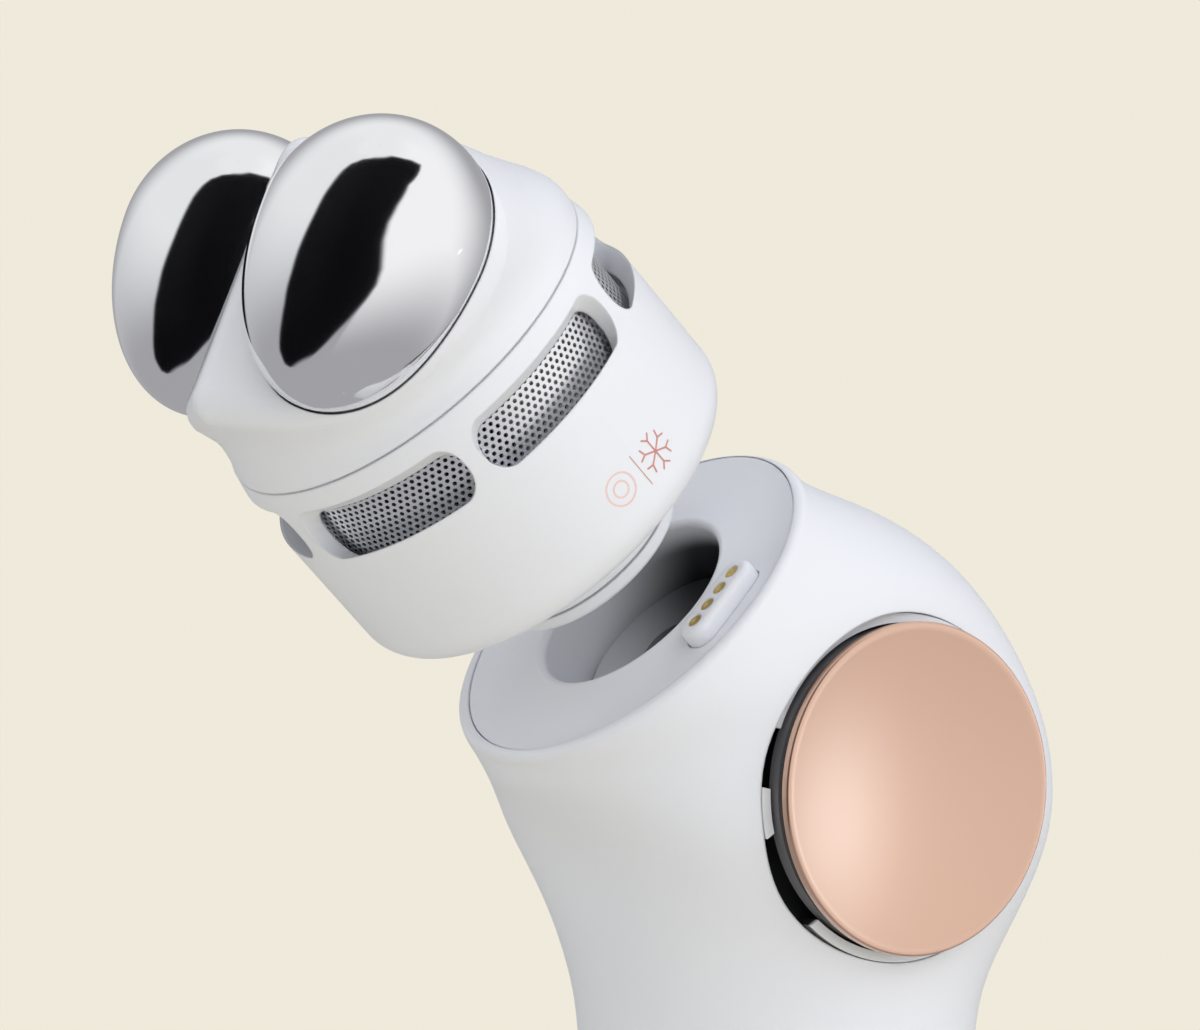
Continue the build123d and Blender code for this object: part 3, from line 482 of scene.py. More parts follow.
class Finish(Enum):
    """The finishes of the pieces."""

    SHELL = MouldedPlastic("shell_white", WHITE, 0.36, edge=0.4 * MM)
    CAP = MouldedPlastic("cap_white", WHITE, 0.36, edge=0.3 * MM)
    SOCKET = MouldedPlastic("socket_white", WHITE, 0.30, edge=0.3 * MM, hollow=BORE_SHADE)
    KEEPER = MouldedPlastic("keeper_paint", (0.60, 0.61, 0.64), 0.35, hollow=BORE_SHADE)
    CHROME = PolishedMetal("electrode_chrome", (0.93, 0.93, 0.94), 0.06)
    ROSE = BlastedMetal("disc_rose_metal", (0.72, 0.39, 0.23), 0.44, coat=1.0)
    # Painted shade: the button carrier is made dark so that it stands for the shadow gap behind the
    # disc's edge.
    BUTTON = MouldedPlastic("button_dark", (0.14, 0.14, 0.15), 0.5)
    WELL = MouldedPlastic("well_white", (0.84, 0.85, 0.88), 0.42, hollow=WELL_SHADE)
    SEAM = SoftRubber("seam_white", (0.66, 0.67, 0.70))
    MESH = BlastedMetal("mesh_steel", (0.92, 0.92, 0.93), 0.32)
    GOLD = BlastedMetal("contact_gold", (0.80, 0.60, 0.20), 0.25, 0.12 * MM)
    BOARD = CircuitBoard("board_green")
    BLACK = MouldedPlastic("moulded_black", (0.018, 0.018, 0.02), 0.5, tint=0.2)
    RUBBER = SoftRubber("rubber_dark", (0.030, 0.030, 0.033))
    INNER = MouldedPlastic("inner_grey", (0.10, 0.10, 0.11), 0.5, tint=0.1)
    SLEEVE = MouldedPlastic("cell_sleeve", (0.05, 0.14, 0.40), 0.3)
    STEEL = TurnedMetal("screw_steel", (0.58, 0.58, 0.60))
    MAGNET = BlastedMetal("magnet_nickel", (0.62, 0.62, 0.64), 0.22)
    COOLING = TurnedMetal("cooling_aluminium", (0.78, 0.79, 0.80))
    CERAMIC = MouldedPlastic("module_ceramic", (0.80, 0.80, 0.76), 0.5)
    MARK = MouldedPlastic("mark_rose", (0.62, 0.27, 0.23), 0.42)
    PALE_MARK = MouldedPlastic("mark_pale_rose", (0.84, 0.60, 0.57), 0.42)


@cache
def material_of(finish: Finish) -> Material:
    """The material of a finish, built when it is first asked for."""
    return finish.value.build()


def dress(obj: Object, finish: Finish) -> None:
    """Gives a whole piece one finish."""
    obj.data.materials.clear()
    obj.data.materials.append(material_of(finish))


# ---- mesh tools
def new_object(name: str, data: ID) -> Object:
    """Puts a mesh, a lamp or a camera into the scene as a new object."""
    obj = bpy.data.objects.new(name, data)
    bpy.context.scene.collection.objects.link(obj)
    return obj


def plain_mesh(mesh: BMesh, name: str) -> Mesh:
    """Turns a bmesh into a mesh as it is, and frees it."""
    made = bpy.data.meshes.new(name)
    mesh.to_mesh(made)
    mesh.free()
    return made


def finish_mesh(mesh: BMesh, name: str, sharp: float = 32.0) -> Mesh:
    """Closes a bmesh into a smooth-shaded mesh with outward faces.

    Args:
        mesh: The shape; it is freed.
        name: Name of the new mesh.
        sharp: Angle in degrees past which an edge stays sharp.

    Returns:
        The finished mesh.
    """
    bmesh.ops.remove_doubles(mesh, verts=mesh.verts, dist=WELD_DISTANCE)
    bmesh.ops.recalc_face_normals(mesh, faces=mesh.faces)
    made = plain_mesh(mesh, name)
    made.shade_smooth()
    made.set_sharp_from_angle(angle=radians(sharp))
    return made


def circle(radius: float, steps: int) -> list[Point]:
    """Points evenly round a circle; no radius gives one point."""
    if radius < POLE_RADIUS:
        return [(0.0, 0.0)]
    angles = [tau * step / steps for step in range(steps)]
    return [(radius * cos(angle), radius * sin(angle)) for angle in angles]


def add_ring(
    mesh: BMesh, points: Sequence[Point], height: float, matrix: Matrix = Matrix()
) -> list[BMVert]:
    """Adds points at one height to a mesh, placed by a matrix."""
    return [mesh.verts.new(matrix @ Vector((x, y, height))) for x, y in points]


def join_rings(mesh: BMesh, low: list[BMVert], high: list[BMVert]) -> None:
    """Fills the space between two rings; a ring of one point is a pole.

    Args:
        mesh: The mesh.
        low: One ring.
        high: The other ring.
    """
    for step in range(max(len(low), len(high))):
        turns = ((low, step), (low, step + 1), (high, step + 1), (high, step))
        corners = dict.fromkeys(ring[turn % len(ring)] for ring, turn in turns)
        if len(corners) > 2:
            mesh.faces.new(tuple(corners))


def lathe(
    name: str, profile: Sequence[Point], place: Frame, segments: int, sharp: float = 32.0
) -> Object:
    """Turns a profile about a frame's z.

    Args:
        name: Name of the object.
        profile: (radius, height) points in metres; the last joins the first, or both are poles.
        place: Frame whose z is the axis.
        segments: Steps round the axis.
        sharp: Angle in degrees past which an edge stays sharp.

    Returns:
        The new object.
    """
    mesh = bmesh.new()
    matrix = place.matrix
    rings = [add_ring(mesh, circle(radius, segments), height, matrix) for radius, height in profile]
    for low, high in zip(rings, rings[1:] + rings[:1]):
        join_rings(mesh, low, high)
    return new_object(name, finish_mesh(mesh, name, sharp))


def arc_points(centre: Point, radius: float, start: float, end: float, steps: int) -> list[Point]:
    """Points along an arc from one angle to another, in degrees, both ends included."""
    angles = [radians(start + (end - start) * step / steps) for step in range(steps + 1)]
    return [(centre[0] + radius * cos(turn), centre[1] + radius * sin(turn)) for turn in angles]


def flat_shape(name: str, outlines: Sequence[Sequence[Point]], thickness: float) -> Object:
    """Flat closed prisms side by side in one mesh.

    Args:
        name: Name of the object.
        outlines: Outline of each prism, in metres.
        thickness: Thickness of the prisms.

    Returns:
        The new object.
    """
    mesh = bmesh.new()
    for outline in outlines:
        rings = [add_ring(mesh, outline, height) for height in (0.0, thickness)]
        join_rings(mesh, *rings)
        for ring in rings:
            mesh.faces.new(ring)
    return new_object(name, finish_mesh(mesh, name))


def bar_outline(start: Point, end: Point, width: float, steps: int = 5) -> list[Point]:
    """Outline of a straight stroke with round ends.

    Args:
        start: Middle of its first end.
        end: Middle of its last end.
        width: Width of the stroke.
        steps: Steps round each end.

    Returns:
        The outline's points.
    """
    heading = degrees(atan2(end[1] - start[1], end[0] - start[0]))
    last = arc_points(end, width / 2, heading - 90, heading + 90, steps)
    return last + arc_points(start, width / 2, heading + 90, heading + 270, steps)


def settle(obj: Object, body: str, slot: str, *replaced: str) -> None:
    """Makes a finished piece ride on a body.

    Args:
        obj: The piece.
        body: Body that it moves with.
        slot: The record's material slot; not used.
        replaced: Nodes that it stands for.
    """
    if replaced:
        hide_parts(*replaced)
    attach(obj, body)
    log.info("piece %s rides on %s", obj.name, body)


# ---- repeated shapes
SOCKET_KINDS = {
    Object: "Object",
    Material: "Material",
    int: "Int",
    float: "Float",
    tuple: "Vector",
}


class RepeatTree(Graph):
    """A geometry tree that repeats one shape and ends in Realize Instances and Set Material."""

    def __init__(self, name: str, **inputs: Any) -> None:
        """Makes a tree with its geometry output and its named inputs.

        Args:
            name: Name of the tree and of the piece.
            inputs: Value of each input; "Shape" and "Material" are among them.
        """
        super().__init__(bpy.data.node_groups.new(name, "GeometryNodeTree"))
        self.name = name
        self.shape = inputs["Shape"]
        self.values: dict[str, Any] = {}
        new_socket = self.tree.interface.new_socket
        new_socket("Geometry", in_out="OUTPUT", socket_type="NodeSocketGeometry")
        for key, value in inputs.items():
            kind = "NodeSocket" + SOCKET_KINDS[type(value)]
            socket = new_socket(key.replace("_", " "), in_out="INPUT", socket_type=kind)
            self.values[socket.identifier] = value
        self.inputs = self.add("NodeGroupInput").outputs

    def given(self, label: str) -> Shade:
        """The number of an input."""
        return Shade(self, self.inputs[label])

    def index(self) -> Shade:
        """The number of each point."""
        return Shade(self, self.out("GeometryNodeInputIndex"))

    def line(self, **sockets: Any) -> NodeSocket:
        """A row of points."""
        return self.out("GeometryNodeMeshLine", settings={"mode": "OFFSET"}, **sockets)

    def copies(self, points: NodeSocket, **sockets: Any) -> NodeSocket:
        """The shape repeated on points."""
        shape = self.add("GeometryNodeObjectInfo", self.inputs["Shape"]).outputs["Geometry"]
        return self.out("GeometryNodeInstanceOnPoints", Points=points, Instance=shape, **sockets)

    def wrap(self, geometry: NodeSocket) -> NodeSocket:
        """Bends a flat drawing round the Z axis, to the input "Radius".

        Args:
            geometry: Drawing with X along the circle, Y up and Z outwards.

        Returns:
            The bent geometry.
        """
        flat = self.out("GeometryNodeRealizeInstances", geometry)
        parts = self.add("ShaderNodeSeparateXYZ", self.out("GeometryNodeInputPosition")).outputs
        radius = self.given("Radius")
        angle = Shade(self, parts[0]) / radius
        reach = radius + Shade(self, parts[2])
        across = (reach * angle.math(turn, angle) for turn in ("COSINE", "SINE"))
        bent = self.out("ShaderNodeCombineXYZ", *across, parts[1])
        return self.out("GeometryNodeSetPosition", Geometry=flat, Position=bent)

    def run(self, geometry: NodeSocket) -> Object:
        """Adds the closing nodes and evaluates the tree into a plain mesh object.

        Args:
            geometry: What the tree has made.

        Returns:
            The piece, with no modifier left on it.
        """
        real = self.out("GeometryNodeRealizeInstances", geometry)
        material = self.inputs["Material"]
        dressed = self.out("GeometryNodeSetMaterial", Geometry=real, Material=material)
        self.add("NodeGroupOutput", dressed)
        holder = new_object("holder", bpy.data.meshes.new("holder"))
        modifier = holder.modifiers.new("repeat", "NODES")
        modifier.node_group = self.tree
        for identifier, value in self.values.items():
            modifier[identifier] = value
        depsgraph = bpy.context.evaluated_depsgraph_get()
        depsgraph.update()
        mesh = bpy.data.meshes.new_from_object(
            holder.evaluated_get(depsgraph), preserve_all_data_layers=True, depsgraph=depsgraph
        )
        for spare in (holder, self.shape):
            bpy.data.objects.remove(spare)
        mesh.name = self.name
        return new_object(self.name, mesh)


@dataclass
class PerforatedSleeve:
    """Perforated metal sleeve: round holes in staggered rows all round."""

    place: Frame = HEAD
    radius: float = 22.7 * MM
    thickness: float = 0.5 * MM
    columns: int = 154
    rows: int = 12
    row_pitch: float = 0.747 * MM
    first_row: float = 16.924 * MM
    first_hole: float = radians(-2.95)
    bottom: float = 15.0 * MM
    top: float = 27.4 * MM
    hole_radius: float = 0.265 * MM
    sharp: float = radians(40)

    @property
    def pitch(self) -> float:
        """Distance between neighbouring holes of a row."""
        return tau * self.radius / self.columns

    def cell(self) -> Object:
        """One brick of sheet with its hole; the joints to its neighbours are left open."""
        wide, high = self.pitch / 2, self.row_pitch / 2
        quarter = [(wide, 0.0), (wide, high), (wide / 2, high), (0.0, high)]
        half = quarter + [(-x, y) for x, y in reversed(quarter[:3])]
        brick = half + [(-x, -y) for x, y in half[1:-1]]
        hole = circle(self.hole_radius, len(brick))
        mesh = bmesh.new()
        levels = ((brick, 0.0), (hole, 0.0), (hole, -self.thickness), (brick, -self.thickness))
        rings = [add_ring(mesh, points, height) for points, height in levels]
        for low, upper in zip(rings, rings[1:]):
            join_rings(mesh, low, upper)
        return new_object("sleeve_cell", plain_mesh(mesh, "sleeve_cell"))

    def build(self) -> None:
        """Makes the sleeve as one mesh."""
        tree = RepeatTree(
            "vent_sleeve",
            Shape=self.cell(),
            Columns=self.columns,
            Rows=self.rows,
            Pitch=self.pitch,
            Row_Pitch=self.row_pitch,
            Radius=self.radius,
            First_Row=self.first_row,
            First_Hole=self.first_hole * self.radius,
            Material=material_of(Finish.MESH),
        )
        columns = tree.given("Columns")
        holes = tree.line(Count=columns * tree.given("Rows"))
        number = tree.index()
        row = (number / columns).whole()
        along = (number % columns + (row % 2.0) * 0.5) * tree.given("Pitch")
        height = row * tree.given("Row Pitch") + tree.given("First Row")
        spread = tree.out("ShaderNodeCombineXYZ", along + tree.given("First Hole"), height)
        placed = tree.out("GeometryNodeSetPosition", Geometry=holes, Position=spread)
        sheet = tree.wrap(tree.copies(placed))
        kind = "GeometryNodeMergeByDistance"
        sleeve = tree.run(tree.out(kind, Geometry=sheet, Distance=MERGE_DISTANCE))
        self.close_ends(sleeve.data)
        sleeve.data.transform(self.place.matrix)
        settle(sleeve, "head", "mesh_steel", "vent_mesh")

    def close_ends(self, sleeve: Mesh) -> None:
        """Adds a plain hem to each end of the perforated rows and closes it.

        Args:
            sleeve: The rows, still standing on the origin.
        """
        mesh = bmesh.new()
        mesh.from_mesh(sleeve)
        middle = (self.bottom + self.top) / 2
        for height in (self.bottom, self.top):
            rims = [
                edge
                for edge in mesh.edges
                if edge.is_boundary and (edge.verts[0].co.z > middle) == (height > middle)
            ]
            grown = bmesh.ops.extrude_edge_only(mesh, edges=rims)["geom"]
            for item in grown:
                if isinstance(item, BMVert):
                    item.co.z = height
            ends = [item for item in grown if isinstance(item, BMEdge) and item.is_boundary]
            bmesh.ops.bridge_loops(mesh, edges=ends)
        bmesh.ops.recalc_face_normals(mesh, faces=mesh.faces)
        mesh.to_mesh(sleeve)
        mesh.free()
        sleeve.shade_smooth()
        sleeve.set_sharp_from_angle(angle=self.sharp)


# ---- sub-assemblies
@dataclass
class ContactRow:
    """Row of turned contacts in the socket: rounded rim and a shallow dimple."""

    place: Frame = SOCKET
    at: float = 17.6 * MM
    pitch: float = 2.54 * MM
    count: int = 4
    radius: float = 0.95 * MM
    edge: float = 0.16 * MM
    bottom: float = -1.8 * MM
    top: float = 1.1 * MM
    dimple: float = 0.12 * MM
    dimple_share: float = 0.62
    segments: int = 24
    sharp: float = radians(40)

    def contact(self) -> Object:
        """One contact standing on the origin."""
        flat = self.radius * self.dimple_share
        corner = (self.radius - self.edge, self.top - self.edge)
        profile = [(0.0, self.bottom), (self.radius, self.bottom)]
        profile += arc_points(corner, self.edge, 0, 90, 3)
        for radius, depth in ((flat, 0.2), (flat * 0.6, 0.8), (0.0, 1.0)):
            profile.append((radius, self.top - depth * self.dimple))
        return lathe("contact", profile, ORIGIN, self.segments)

    def build(self) -> None:
        """Makes the row as one mesh."""
        tree = RepeatTree(
            "contact_row",
            Shape=self.contact(),
            Count=self.count,
            Start=(self.at, -self.pitch * (self.count - 1) / 2, 0.0),
            Step=(0.0, self.pitch, 0.0),
            Material=material_of(Finish.GOLD),
        )
        start, step = tree.inputs["Start"], tree.inputs["Step"]
        points = tree.line(Count=tree.inputs["Count"], Start_Location=start, Offset=step)
        row = tree.run(tree.copies(points))
        row.data.transform(self.place.matrix)
        row.data.set_sharp_from_angle(angle=self.sharp)
        settle(row, "body", "contact_gold", "contact_pads")


@dataclass
class Electrodes:
    """The two mirror-polished metal eggs."""

    radius: float = 13.4 * MM
    half_length: float = 17.25 * MM
    shift: float = 3.0 * MM
    side: float = 14.4 * MM
    front: float = 4.7 * MM
    height: float = 44.5 * MM
    pitch: float = radians(18.5)
    yaw: float = radians(6.4)
    cut: float = 34.0 * MM
    steps: int = 80
    segments: int = 144
    sharp: float = 60.0

    def frame(self, side: int) -> Frame:
        """Frame of one egg.

        Args:
            side: -1 for the left egg, 1 for the right one.

        Returns:
            The frame; its z runs along the egg, to its wide end.
        """
        sideways = SIDE * side
        up = SOCKET_AXIS * cos(self.pitch) - SOCKET_UP * sin(self.pitch)
        along = SOCKET_UP * cos(self.pitch) + SOCKET_AXIS * sin(self.pitch)
        centre = HEAD.origin + sideways * self.side - SOCKET_UP * self.front
        z_dir = (along * cos(self.yaw) + sideways * sin(self.yaw)).normalized()
        return Frame(centre + SOCKET_AXIS * self.height, up, z_dir)

    def profile(self) -> list[Point]:
        """Half outline of the egg, from its narrow tip to its wide end."""
        points = []
        for step in range(self.steps + 1):
            angle = -pi / 2 + pi * step / self.steps
            half = self.half_length + self.shift * (1 if angle < 0 else -1)
            points.append((self.radius * cos(angle), self.shift + half * sin(angle)))
        return [(0.0, points[0][1]), *points[1:-1], (0.0, points[-1][1])]

    def build(self) -> None:
        """Makes both eggs, cut flat underneath."""
        for side, node in ((-1, "electrode_left"), (1, "electrode_right")):
            name = node + "_egg"
            egg = lathe(name, self.profile(), self.frame(side), self.segments, self.sharp)
            mesh = bmesh.new()
            mesh.from_mesh(egg.data)
            cut = bmesh.ops.bisect_plane(
                mesh,
                geom=mesh.verts[:] + mesh.edges[:] + mesh.faces[:],
                plane_co=HEAD.origin + SOCKET_AXIS * self.cut,
                plane_no=SOCKET_AXIS,
                clear_inner=True,
            )
            rim = [item for item in cut["geom_cut"] if isinstance(item, BMEdge)]
            bmesh.ops.contextual_create(mesh, geom=rim)
            egg.data = finish_mesh(mesh, name, self.sharp)
            dress(egg, Finish.CHROME)
            settle(egg, "head", "electrode_chrome", node)


@dataclass
class SideButton:
    """Large dished metal disc on the side."""

    radius: float = 19.4 * MM
    dish: float = 1.5 * MM
    plate: float = 1.0 * MM
    bevel: float = 0.3 * MM
    steps: int = 24
    segments: int = 160
    sharp: float = 40.0

    def profile(self) -> list[Point]:
        """Half section of the disc: its face, its rim and its back."""
        edge = self.radius - self.bevel
        bend = (edge * edge + self.dish * self.dish) / (2 * self.dish)
        angles = [asin(edge / bend) * step / self.steps for step in range(self.steps + 1)]
        face = [(bend * sin(turn), -self.dish + bend * (1 - cos(turn))) for turn in angles]
        rim = arc_points((edge, -self.bevel), self.bevel, 90, 0, 4)
        back = [(radius, height - self.plate) for radius, height in reversed(face)]
        return face + rim + [(self.radius, -self.plate)] + back

    def build(self) -> None:
        """Makes the disc."""
        disc = lathe("button_face", self.profile(), BUTTON, self.segments, self.sharp)
        dress(disc, Finish.ROSE)
        settle(disc, "button", "disc_metal", "button_disc")


@dataclass
class TreatmentHead:
    """Vented head: perforated sleeve and small marks on its band."""

    radius: float = 25.43 * MM
    mark_thickness: float = 0.05 * MM
    stroke: float = 0.21 * MM
    snow_place: Point = (radians(5.42), 7.63 * MM)
    snow_turn: float = radians(30)
    snow_fork: float = 1.6 * MM
    snow_reach: float = 2.3 * MM
    snow_spread: float = radians(15.5)
    snow_arms: int = 6
    line_place: Point = (radians(-1.35), 7.65 * MM)
    line_length: float = 4.4 * MM
    line_width: float = 0.1 * MM
    rings_place: Point = (radians(-8.7), 8.0 * MM)
    ring_radii: Point = (0.95 * MM, 1.9 * MM)
    ring_segments: int = 40

    def snow_arm(self) -> Object:
        """One arm of the snow mark: a stem that forks in two."""

        def at(reach: float, turn: float) -> Point:
            """Point at a distance and an angle from the middle."""
            return reach * cos(self.snow_turn + turn), reach * sin(self.snow_turn + turn)

        fork = at(self.snow_fork, 0.0)
        tips = [at(self.snow_reach, side * self.snow_spread) for side in (-1, 1)]
        bars = [bar_outline((0.0, 0.0), fork, self.stroke)]
        bars += [bar_outline(fork, tip, self.stroke) for tip in tips]
        return flat_shape("snow_arm", bars, self.mark_thickness)

    def line(self) -> Object:
        """A straight upright stroke."""
        half = self.line_length / 2
        outline = bar_outline((0.0, -half), (0.0, half), self.line_width)
        return flat_shape("line", [outline], self.mark_thickness)

    def rings(self) -> Object:
        """Two plain rings, one inside the other."""
        mesh = bmesh.new()
        for radius in self.ring_radii:
            low, high = radius - self.stroke / 2, radius + self.stroke / 2
            section = [(low, 0.0), (high, 0.0)]
            section += [(high, self.mark_thickness), (low, self.mark_thickness)]
            ring = lathe("ring", section, ORIGIN, self.ring_segments)
            mesh.from_mesh(ring.data)
            bpy.data.objects.remove(ring)
        return new_object("rings", finish_mesh(mesh, "rings"))

    def mark(self, name: str, finish: Finish, shape: Object, copies: int, place: Point) -> None:
        """Repeats a flat shape about its middle and bends it round the band.

        Args:
            name: Name of the mark.
            finish: Its finish.
            shape: The flat shape.
            copies: How many turns of the shape make the mark.
            place: Azimuth in radians and height of its middle.
        """
        tree = RepeatTree(
            name,
            Shape=shape,
            Copies=copies,
            Radius=self.radius,
            Middle=(place[0] * self.radius, place[1], 0.0),
            Material=material_of(finish),
        )
        count = tree.given("Copies")
        points = tree.line(Count=count, Start_Location=tree.inputs["Middle"], Offset=(0, 0, 0))
        turn = tree.out("ShaderNodeCombineXYZ", Z=tree.index() * tau / count)
        mark = tree.run(tree.wrap(tree.copies(points, Rotation=turn)))
        mark.data.transform(HEAD.matrix)
        settle(mark, "head", "disc_metal")

    def build(self) -> None:
        """Makes the sleeve and the marks."""
        PerforatedSleeve().build()
        self.mark("mark_snow", Finish.MARK, self.snow_arm(), self.snow_arms, self.snow_place)
        self.mark("mark_line", Finish.MARK, self.line(), 1, self.line_place)
        self.mark("mark_rings", Finish.PALE_MARK, self.rings(), 1, self.rings_place)


PLAIN_NODES = {
    Finish.SHELL: "handle_shell base_cap head_band",
    Finish.CAP: "head_cap",
    Finish.SOCKET: "socket_dish contact_block plug_collar plug_tip head_base",
    Finish.CHROME: "electrode_left electrode_right",
    Finish.ROSE: "button_disc",
    # The carrier's dark finish is painted shade for the gap behind the disc.
    Finish.BUTTON: "button_carrier",
    Finish.WELL: "button_well",
    Finish.MESH: "vent_mesh",
    Finish.GOLD: "contact_pads spring_pins",
    Finish.BOARD: "contact_board button_board main_board charge_board head_board",
    Finish.BLACK: "board_chips button_switch pin_block",
    Finish.RUBBER: "foot_pad button_dome",
    Finish.SEAM: "seam_gasket",
    Finish.INNER: "chassis battery_cradle socket_floor board_standoffs fan_frame "
    "electrode_carrier fan_rotor",
    Finish.SLEEVE: "battery_cell",
    Finish.STEEL: "base_screws board_screws head_screws fan_shaft charge_port",
    Finish.KEEPER: "socket_keeper",
    Finish.MAGNET: "plug_magnet fan_motor",
    Finish.COOLING: "heat_sink core_left core_right",
    Finish.CERAMIC: "peltier_modules",
}


class PlainNodes:
    """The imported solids, which keep their shape."""

    def build(self) -> None:
        """Gives each solid its finish."""
        for finish, names in PLAIN_NODES.items():
            for name in names.split():
                dress(frame["nodes"][name], finish)
                log.info("solid %s is dressed in %s", name, finish.value.name)


# ---- studio
TARGET = Vector((0.0, -0.05, 0.16))
DISC_SPOT = Vector((0.0284, -0.001, 0.1034))


def direction(azimuth: float, elevation: float) -> Vector:
    """Unit vector; azimuth 0 faces the front, 90 the button, both angles in degrees."""
    turn, rise = radians(azimuth), radians(elevation)
    return Vector((cos(rise) * sin(turn), -cos(rise) * cos(turn), sin(rise)))


@dataclass(frozen=True)
class Lamp:
    """Square lamp for its light alone, or a small round one that metal mirrors.

    The spread is the cone, in degrees, that its grid lets through, and it faces its aim.
    """

    name: str
    azimuth: float
    elevation: float
    size: float
    radiance: float
    distance: float = 1.3
    spread: float = 180.0
    aim: Vector = TARGET
    mirrored: bool = False

    def build(self) -> None:
        """Hangs the lamp."""
        data = bpy.data.lights.new(self.name, "AREA")
        data.shape = "DISK" if self.mirrored else "SQUARE"
        data.size = self.size
        data.spread = radians(self.spread)
        half = radians(self.spread) / 2
        let_through = sin(half) ** 2 - (half - sin(2 * half) / 2) / tan(half)
        area = self.size**2 * (pi / 4 if self.mirrored else 1.0)
        data.energy = self.radiance * pi * area * let_through
        lamp = new_object(self.name, data)
        lamp.location = self.aim + direction(self.azimuth, self.elevation) * self.distance
        lamp.rotation_euler = (self.aim - lamp.location).to_track_quat("-Z", "Y").to_euler()
        lamp.visible_camera = False
        lamp.visible_glossy = self.mirrored


@dataclass(frozen=True)
class Card:
    """Studio card with soft borders, curved round the target; only glossy surfaces mirror it.

    Its rows run upwards, each with an elevation and the azimuths of its two ends. The fades
    are the widths, in degrees, over which it thins out at its start, end, bottom and top.
    """

    name: str
    rows: Sequence[Triple]
    colour: Colour
    distance: float
    clearance: float
    fades: Sequence[float] = (0, 0, 0, 0)
    steps: int = 48
    row_step: float = 3.0

    def point(self, azimuth: float, elevation: float) -> Vector:
        """One point of the card; below the horizon the card lies on the floor.

        Args:
            azimuth: Direction in degrees.
            elevation: Direction in degrees.

        Returns:
            The point.
        """
        reach = self.distance
        if elevation < 0:
            reach = min(reach, (TARGET.z - self.clearance) / sin(radians(-elevation)))
        return TARGET + direction(azimuth, elevation) * reach

    def lines(self) -> list[Triple]:
        """The rows with finer ones put between them.

        Returns:
            The rows; one of them lies where the card meets the floor.
        """
        fold = -degrees(asin((TARGET.z - self.clearance) / self.distance))
        lines = []
        for low, high in zip(self.rows, self.rows[1:]):
            count = max(1, round((high[0] - low[0]) / self.row_step))
            shares = [step / count for step in range(count)]
            if low[0] < fold < high[0]:
                shares = sorted(shares + [(fold - low[0]) / (high[0] - low[0])])
            for share in shares:
                lines.append(tuple(a + (b - a) * share for a, b in zip(low, high)))
        return lines + [tuple(self.rows[-1])]

    def cover(self, inside: Sequence[float]) -> float:
        """How solid the card is at a point.

        Args:
            inside: The point's distances from the four borders, in degrees.

        Returns:
            A value between 0 and 1.
        """
        shares = [min(1.0, depth / fade) for depth, fade in zip(inside, self.fades) if fade]
        share = min(shares, default=1.0)
        return share * share * (3 - 2 * share)

    def material(self) -> Material:
        """Plain glow, thinned out by the cover stored in the mesh."""
        graph = MaterialGraph(self.name)
        cover = graph.add("ShaderNodeAttribute", settings={"attribute_name": "cover"})
        glow = graph.add("ShaderNodeEmission", (*self.colour, 1.0))
        return graph.show(cover.outputs["Fac"], graph.add("ShaderNodeBsdfTransparent"), glow)

    def build(self) -> None:
        """Makes the card."""
        mesh = bmesh.new()
        layer = mesh.verts.layers.float.new("cover")
        lines = self.lines()
        bottom, top = lines[0][0], lines[-1][0]
        grid = []
        for level, start, end in lines:
            line = []
            for step in range(self.steps + 1):
                azimuth = start + (end - start) * step / self.steps
                vert = mesh.verts.new(self.point(azimuth, level))
                inside = (azimuth - start, end - azimuth, level - bottom, top - level)
                vert[layer] = self.cover(inside)
                line.append(vert)
            grid.append(line)
        for low, high in zip(grid, grid[1:]):
            for step in range(self.steps):
                mesh.faces.new((low[step], low[step + 1], high[step + 1], high[step]))
        card = new_object(self.name, plain_mesh(mesh, self.name))
        card.data.materials.append(self.material())
        for rays in ("camera", "diffuse", "transmission", "shadow"):
            setattr(card, "visible_" + rays, False)


def even_rows(bottom: float, top: float) -> list[Triple]:
    """Rows of a card that goes all the way round."""
    return [(bottom, -180, 180), (top, -180, 180)]


LAMPS = (
    Lamp("right_box", 112, 28, 1.5, 1.0),
    Lamp("front_box", 60, 20, 1.0, 1.0),
    Lamp("left_box", -62, 15, 1.5, 0.3),
    Lamp("top_box", 90, 85, 1.2, 0.6),
    Lamp("disc_glow", 139, -1.5, 0.075, 2.4, 0.25, 18, DISC_SPOT, True),
)
RIGHT_ROWS = [
    (-50, 30, 180), (-14, 70, 190), (15, 60, 200), (29, 70, 205),
    (45, 85, 210), (60, 110, 215), (80, 90, 215),
]
DARK_ROWS = [
    (-44, -15, 5), (-41, -28, 22), (-37, -33, 34), (-28, -32, 53),
    (-20, -26, 66), (-14, -22, 72), (-7, -19, 74), (0, -17, 72),
    (7, -14, 70), (15, -12, 71), (29, -7, 80), (45, -4, 96),
    (58, -3, 131), (65, 0, 125), (72, 14, 109), (77, 50, 90),
]
LEFT_ROWS = [(-22, -110, 20), (80, -110, 20)]
CARDS = (
    Card("grey_tent", even_rows(-89.5, 89), (0.38, 0.38, 0.40), 1.7, 0.004),
    Card("top_card", even_rows(22, 89), (0.87, 0.88, 0.89), 1.65, 0.008, (0, 0, 36, 0)),
    Card("left_card", LEFT_ROWS, (0.83, 0.84, 0.85), 1.6, 0.008, (50, 0, 56, 10)),
    Card("right_card", RIGHT_ROWS, (0.95, 0.95, 0.96), 1.55, 0.012, (0, 70, 48, 12)),
    Card("dark_card", DARK_ROWS, (0.004, 0.004, 0.005), 1.5, 0.016, (4, 5, 3, 2)),
)


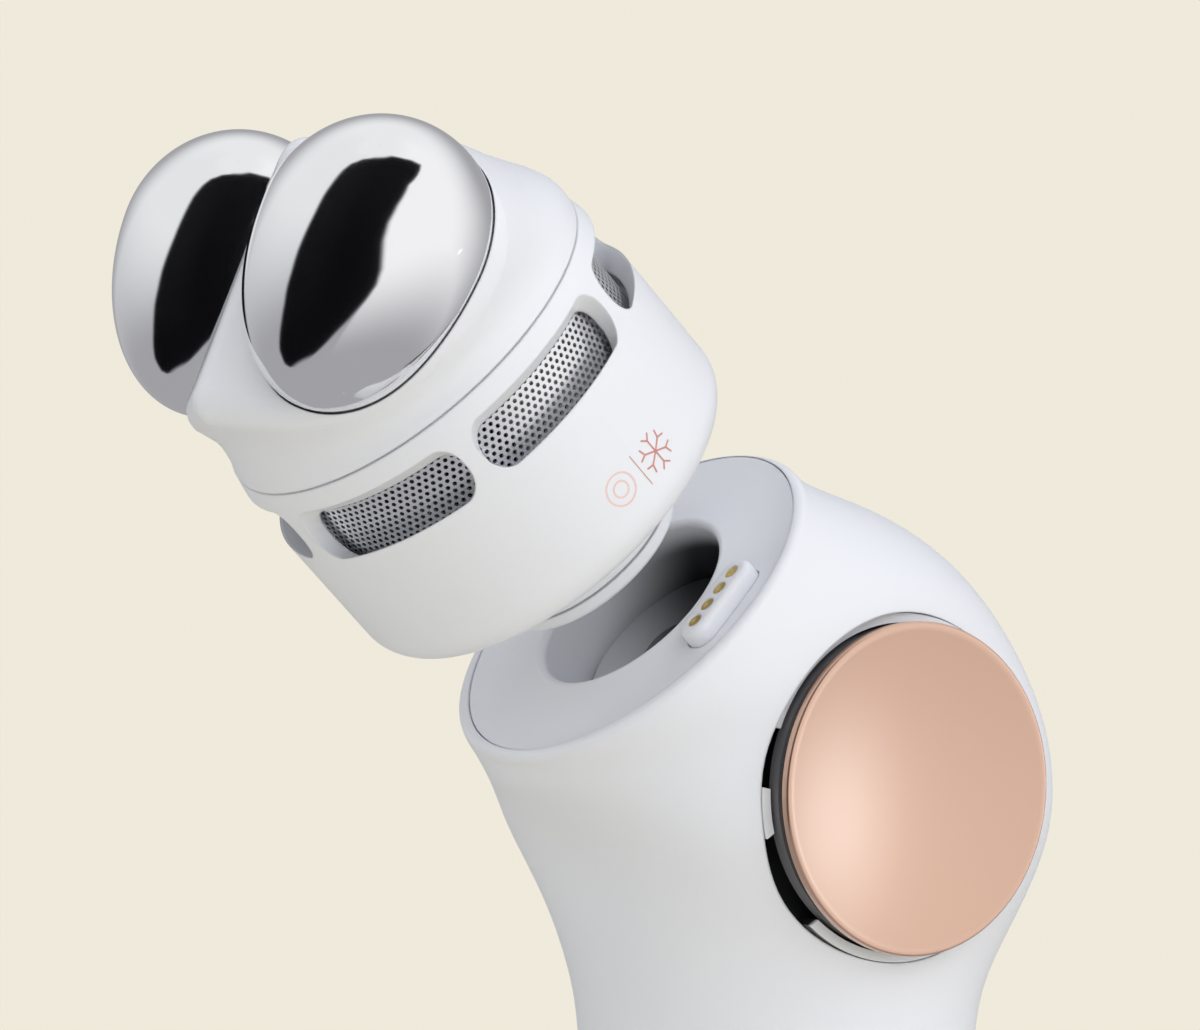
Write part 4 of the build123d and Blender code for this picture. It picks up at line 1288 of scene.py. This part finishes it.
@dataclass
class Studio:
    """Floor, backdrop, lamps, cards and camera."""

    paper: Colour = (0.862, 0.823, 0.708)
    light: Colour = (0.91, 0.94, 1.0)
    light_strength: float = 0.58
    floor_size: float = 12.0
    fibre_size: float = 4.0 * MM
    fade_start: float = 0.3
    fade_length: float = 0.4
    near_share: float = 0.35
    camera_place: Triple = (0.47603, -0.36837, 0.13811)
    camera_right: Triple = (0.58382, 0.81188, 0.0)
    camera_up: Triple = (-0.00425, 0.00306, 0.99999)
    lens: float = 150.0
    sensor: float = 36.0

    def seen(self, graph: Graph) -> Shade:
        """1 on the rays that show the background: from the camera, in metal and in glass."""
        rays = graph.add("ShaderNodeLightPath").outputs
        seen = Shade(graph, rays["Is Camera Ray"]) + Shade(graph, rays["Is Glossy Ray"])
        return (seen + Shade(graph, rays["Is Transmission Ray"])).limited()

    def paper_material(self) -> Material:
        """Pale paper: it keeps the shadow near the foot and fades to an even ground."""
        graph = MaterialGraph("paper")
        fibres = graph.noise(self.fibre_size, 3.0)
        graph.look(Base_Color=graph.tint(fibres, self.paper, 0.01, 0.0), Roughness=0.9)
        glow = graph.add("ShaderNodeEmission", (*self.paper, 1.0))
        away = Shade(graph, graph.vector("LENGTH", graph.place).outputs["Value"])
        far = away.ramp(self.fade_start, self.fade_start + self.fade_length)
        share = self.near_share + (1.0 - self.near_share) * far
        return graph.show(self.seen(graph) * share, graph.shader, glow)

    def world(self) -> None:
        """Even surround: neutral light, seen as the paper's colour."""
        world = bpy.data.worlds.new("surround")
        bpy.context.scene.world = world
        world.use_nodes = True
        graph = Graph(world.node_tree)
        graph.tree.nodes.clear()
        light = graph.out("ShaderNodeBackground", (*self.light, 1.0), self.light_strength)
        ground = graph.out("ShaderNodeBackground", (*self.paper, 1.0), 1.0)
        mixed = graph.out("ShaderNodeMixShader", self.seen(graph), light, ground)
        graph.add("ShaderNodeOutputWorld", mixed)

    def floor(self) -> None:
        """Large pale floor under the foot."""
        mesh = bmesh.new()
        bmesh.ops.create_grid(mesh, x_segments=8, y_segments=8, size=self.floor_size)
        floor = new_object("floor", finish_mesh(mesh, "floor"))
        floor.data.materials.append(self.paper_material())

    def camera(self) -> None:
        """Long lens to the right of the front, level with the head."""
        data = bpy.data.cameras.new("camera")
        data.lens = self.lens
        data.sensor_width = self.sensor
        data.clip_start, data.clip_end = 0.01, 100.0
        camera = new_object("camera", data)
        right, up = Vector(self.camera_right), Vector(self.camera_up)
        turn = Matrix((right, up, right.cross(up))).transposed()
        camera.matrix_world = Matrix.Translation(self.camera_place) @ turn.to_4x4()
        bpy.context.scene.camera = camera

    def build(self) -> None:
        """Sets the whole studio."""
        bpy.context.scene.view_settings.view_transform = "Standard"
        self.camera()
        self.world()
        self.floor()
        for item in (*LAMPS, *CARDS):
            item.build()
        log.info("studio set with %d lamps and %d cards", len(LAMPS), len(CARDS))


def main() -> None:
    """Builds the sub-assemblies in order."""
    logging.basicConfig(level=logging.INFO)
    for part in (Studio, PlainNodes, Electrodes, SideButton, TreatmentHead, ContactRow):
        part().build()


if __name__ == "__main__":
    main()
